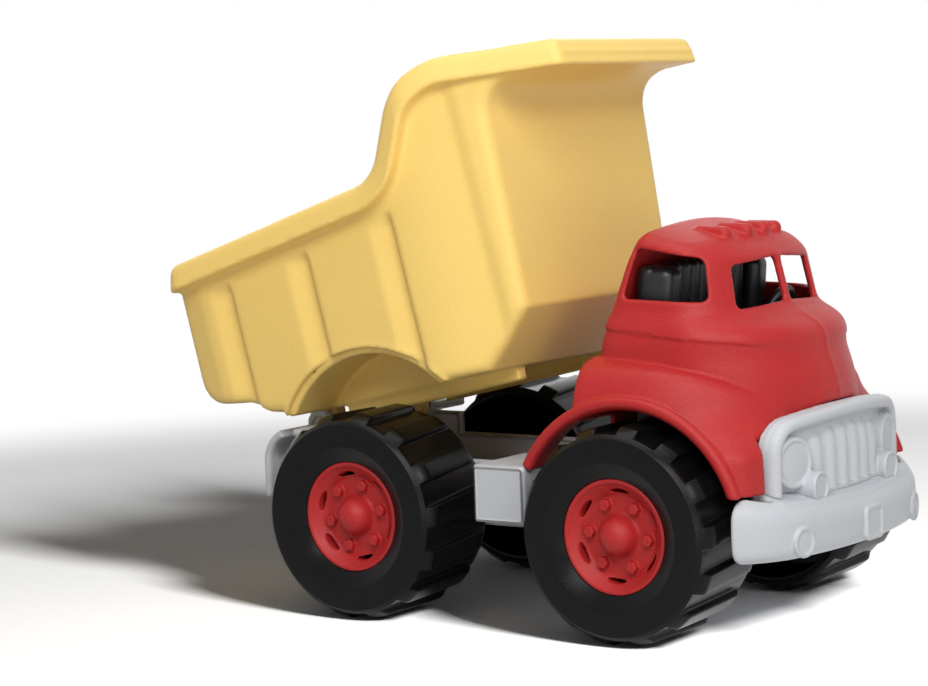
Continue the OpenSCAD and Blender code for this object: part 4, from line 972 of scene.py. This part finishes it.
# floor: rays that show the backdrop see it brighter, so that the lit floor is white and the shadow stays;
# away from the part it turns into a plain white glow for them
stage = {"size": 12.0, "bounce": 0.85, "seen": 1.8, "plain": (0.5, 0.75), "dimWorld": 0.06}
floorMesh = bpy.data.meshes.new("studioFloor")
s = stage["size"] / 2
floorMesh.from_pydata([(-s, -s, 0), (s, -s, 0), (s, s, 0), (-s, s, 0)], [], [(0, 1, 2, 3)])
floor = bpy.data.objects.new("studioFloor", floorMesh)
scene.collection.objects.link(floor)
floorPaint = bpy.data.materials.new("floorPaint")
floorPaint.use_nodes = True
tree = floorPaint.node_tree
tree.nodes.clear()
seen = backdropRays(tree)
greys = {"Factor": seen, "A": (stage["bounce"],) * 3 + (1,), "B": (stage["seen"],) * 3 + (1,)}
tint = addNode(tree, "ShaderNodeMix", greys, data_type="RGBA").outputs["Result"]
paint = addNode(tree, "ShaderNodeBsdfDiffuse", {"Color": tint}).outputs[0]
place = addNode(tree, "ShaderNodeTexCoord").outputs["Object"]
away = addNode(tree, "ShaderNodeVectorMath", {0: place}, operation="LENGTH").outputs["Value"]
far = {"Value": away, "From Min": stage["plain"][0], "From Max": stage["plain"][1]}
far = addNode(tree, "ShaderNodeMapRange", far, interpolation_type="SMOOTHSTEP").outputs["Result"]
share = addNode(tree, "ShaderNodeMath", {0: far, 1: seen}, operation="MULTIPLY").outputs[0]
white = addNode(tree, "ShaderNodeEmission").outputs[0]
blend = addNode(tree, "ShaderNodeMixShader", {"Fac": share, 1: paint, 2: white}).outputs[0]
addNode(tree, "ShaderNodeOutputMaterial", {"Surface": blend})
floorMesh.materials.append(floorPaint)

# world: white as a backdrop, nearly dark as a light
world = bpy.data.worlds.new("studio")
scene.world = world
world.use_nodes = True
tree = world.node_tree
tree.nodes.clear()
glow = {"Value": backdropRays(tree), "To Min": stage["dimWorld"], "To Max": 1.0}
glow = addNode(tree, "ShaderNodeMapRange", glow).outputs["Result"]
sky = addNode(tree, "ShaderNodeBackground", {"Color": (1, 1, 1, 1), "Strength": glow}).outputs[0]
addNode(tree, "ShaderNodeOutputWorld", {"Surface": sky})

# studio light: a small key from ahead with a stronger spill for the floor, a broad soft lamp and a low one beside
# the camera, one above and one behind
keyAt = {"at": (1.35, -0.58, 1.04), "aim": (0, 0, 0.07), "size": (0.35, 0.35)}
lamps = {
    "key": {**keyAt, "power": 6, "on": "all"},
    "spill": {**keyAt, "power": 24, "on": "floor"},
    "soft": {"at": (0.50, -0.94, 0.95), "aim": (0, 0, 0.1), "size": (0.9, 0.7), "power": 12, "on": "part"},
    "low": {"at": (0.95, -0.75, 0.16), "aim": (0.02, 0, 0.13), "size": (0.9, 0.3), "power": 2, "on": "part"},
    "top": {"at": (-0.1, -0.1, 1.4), "aim": (0, 0, 0.1), "size": (1.0, 1.0), "power": 7.5, "on": "part"},
    "back": {"at": (-1.0, 0.9, 0.8), "aim": (0, 0, 0.1), "size": (1.2, 0.8), "power": 4, "on": "part"},
}
# the spill brightens the floor alone and the soft lamps pass it by, so that the long shadow of the key stays dark
lampReach = {}
for reach, state in (("floor", "INCLUDE"), ("part", "EXCLUDE")):
    lampReach[reach] = bpy.data.collections.new(reach + "Light")
    lampReach[reach].objects.link(floor)
    lampReach[reach].collection_objects[0].light_linking.link_state = state
for name, lamp in lamps.items():
    light = bpy.data.lights.new(name, "AREA")
    light.shape = "RECTANGLE"
    light.size, light.size_y = lamp["size"]
    light.energy = lamp["power"]
    holder = bpy.data.objects.new(name, light)
    holder.location = lamp["at"]
    holder.rotation_euler = (Vector(lamp["aim"]) - Vector(lamp["at"])).to_track_quat("-Z", "Y").to_euler()
    scene.collection.objects.link(holder)
    if lamp["on"] in lampReach:
        holder.light_linking.receiver_collection = lampReach[lamp["on"]]

# camera solved from the wheels and body lines
view = {
    "at": (0.56424, -0.89016, 0.20206), "yaw": 124.95, "pitch": 5.30, "roll": -1.91,
    "lens": 103.02, "sensor": 36, "near": 0.01,
}
yaw, pitch, roll = (math.radians(view[k]) for k in ("yaw", "pitch", "roll"))
look = Vector((math.cos(yaw) * math.cos(pitch), math.sin(yaw) * math.cos(pitch), -math.sin(pitch)))
right = Vector((math.sin(yaw), -math.cos(yaw), 0))
up = right.cross(look)
right, up = right * math.cos(roll) + up * math.sin(roll), up * math.cos(roll) - right * math.sin(roll)
lens = bpy.data.cameras.new("camera")
lens.lens = view["lens"]
lens.sensor_width = view["sensor"]
lens.clip_start = view["near"]
camera = bpy.data.objects.new("camera", lens)
camera.matrix_world = Matrix((right, up, -look)).transposed().to_4x4()
camera.location = view["at"]
scene.collection.objects.link(camera)
scene.camera = camera
print("stage, light and camera ready")
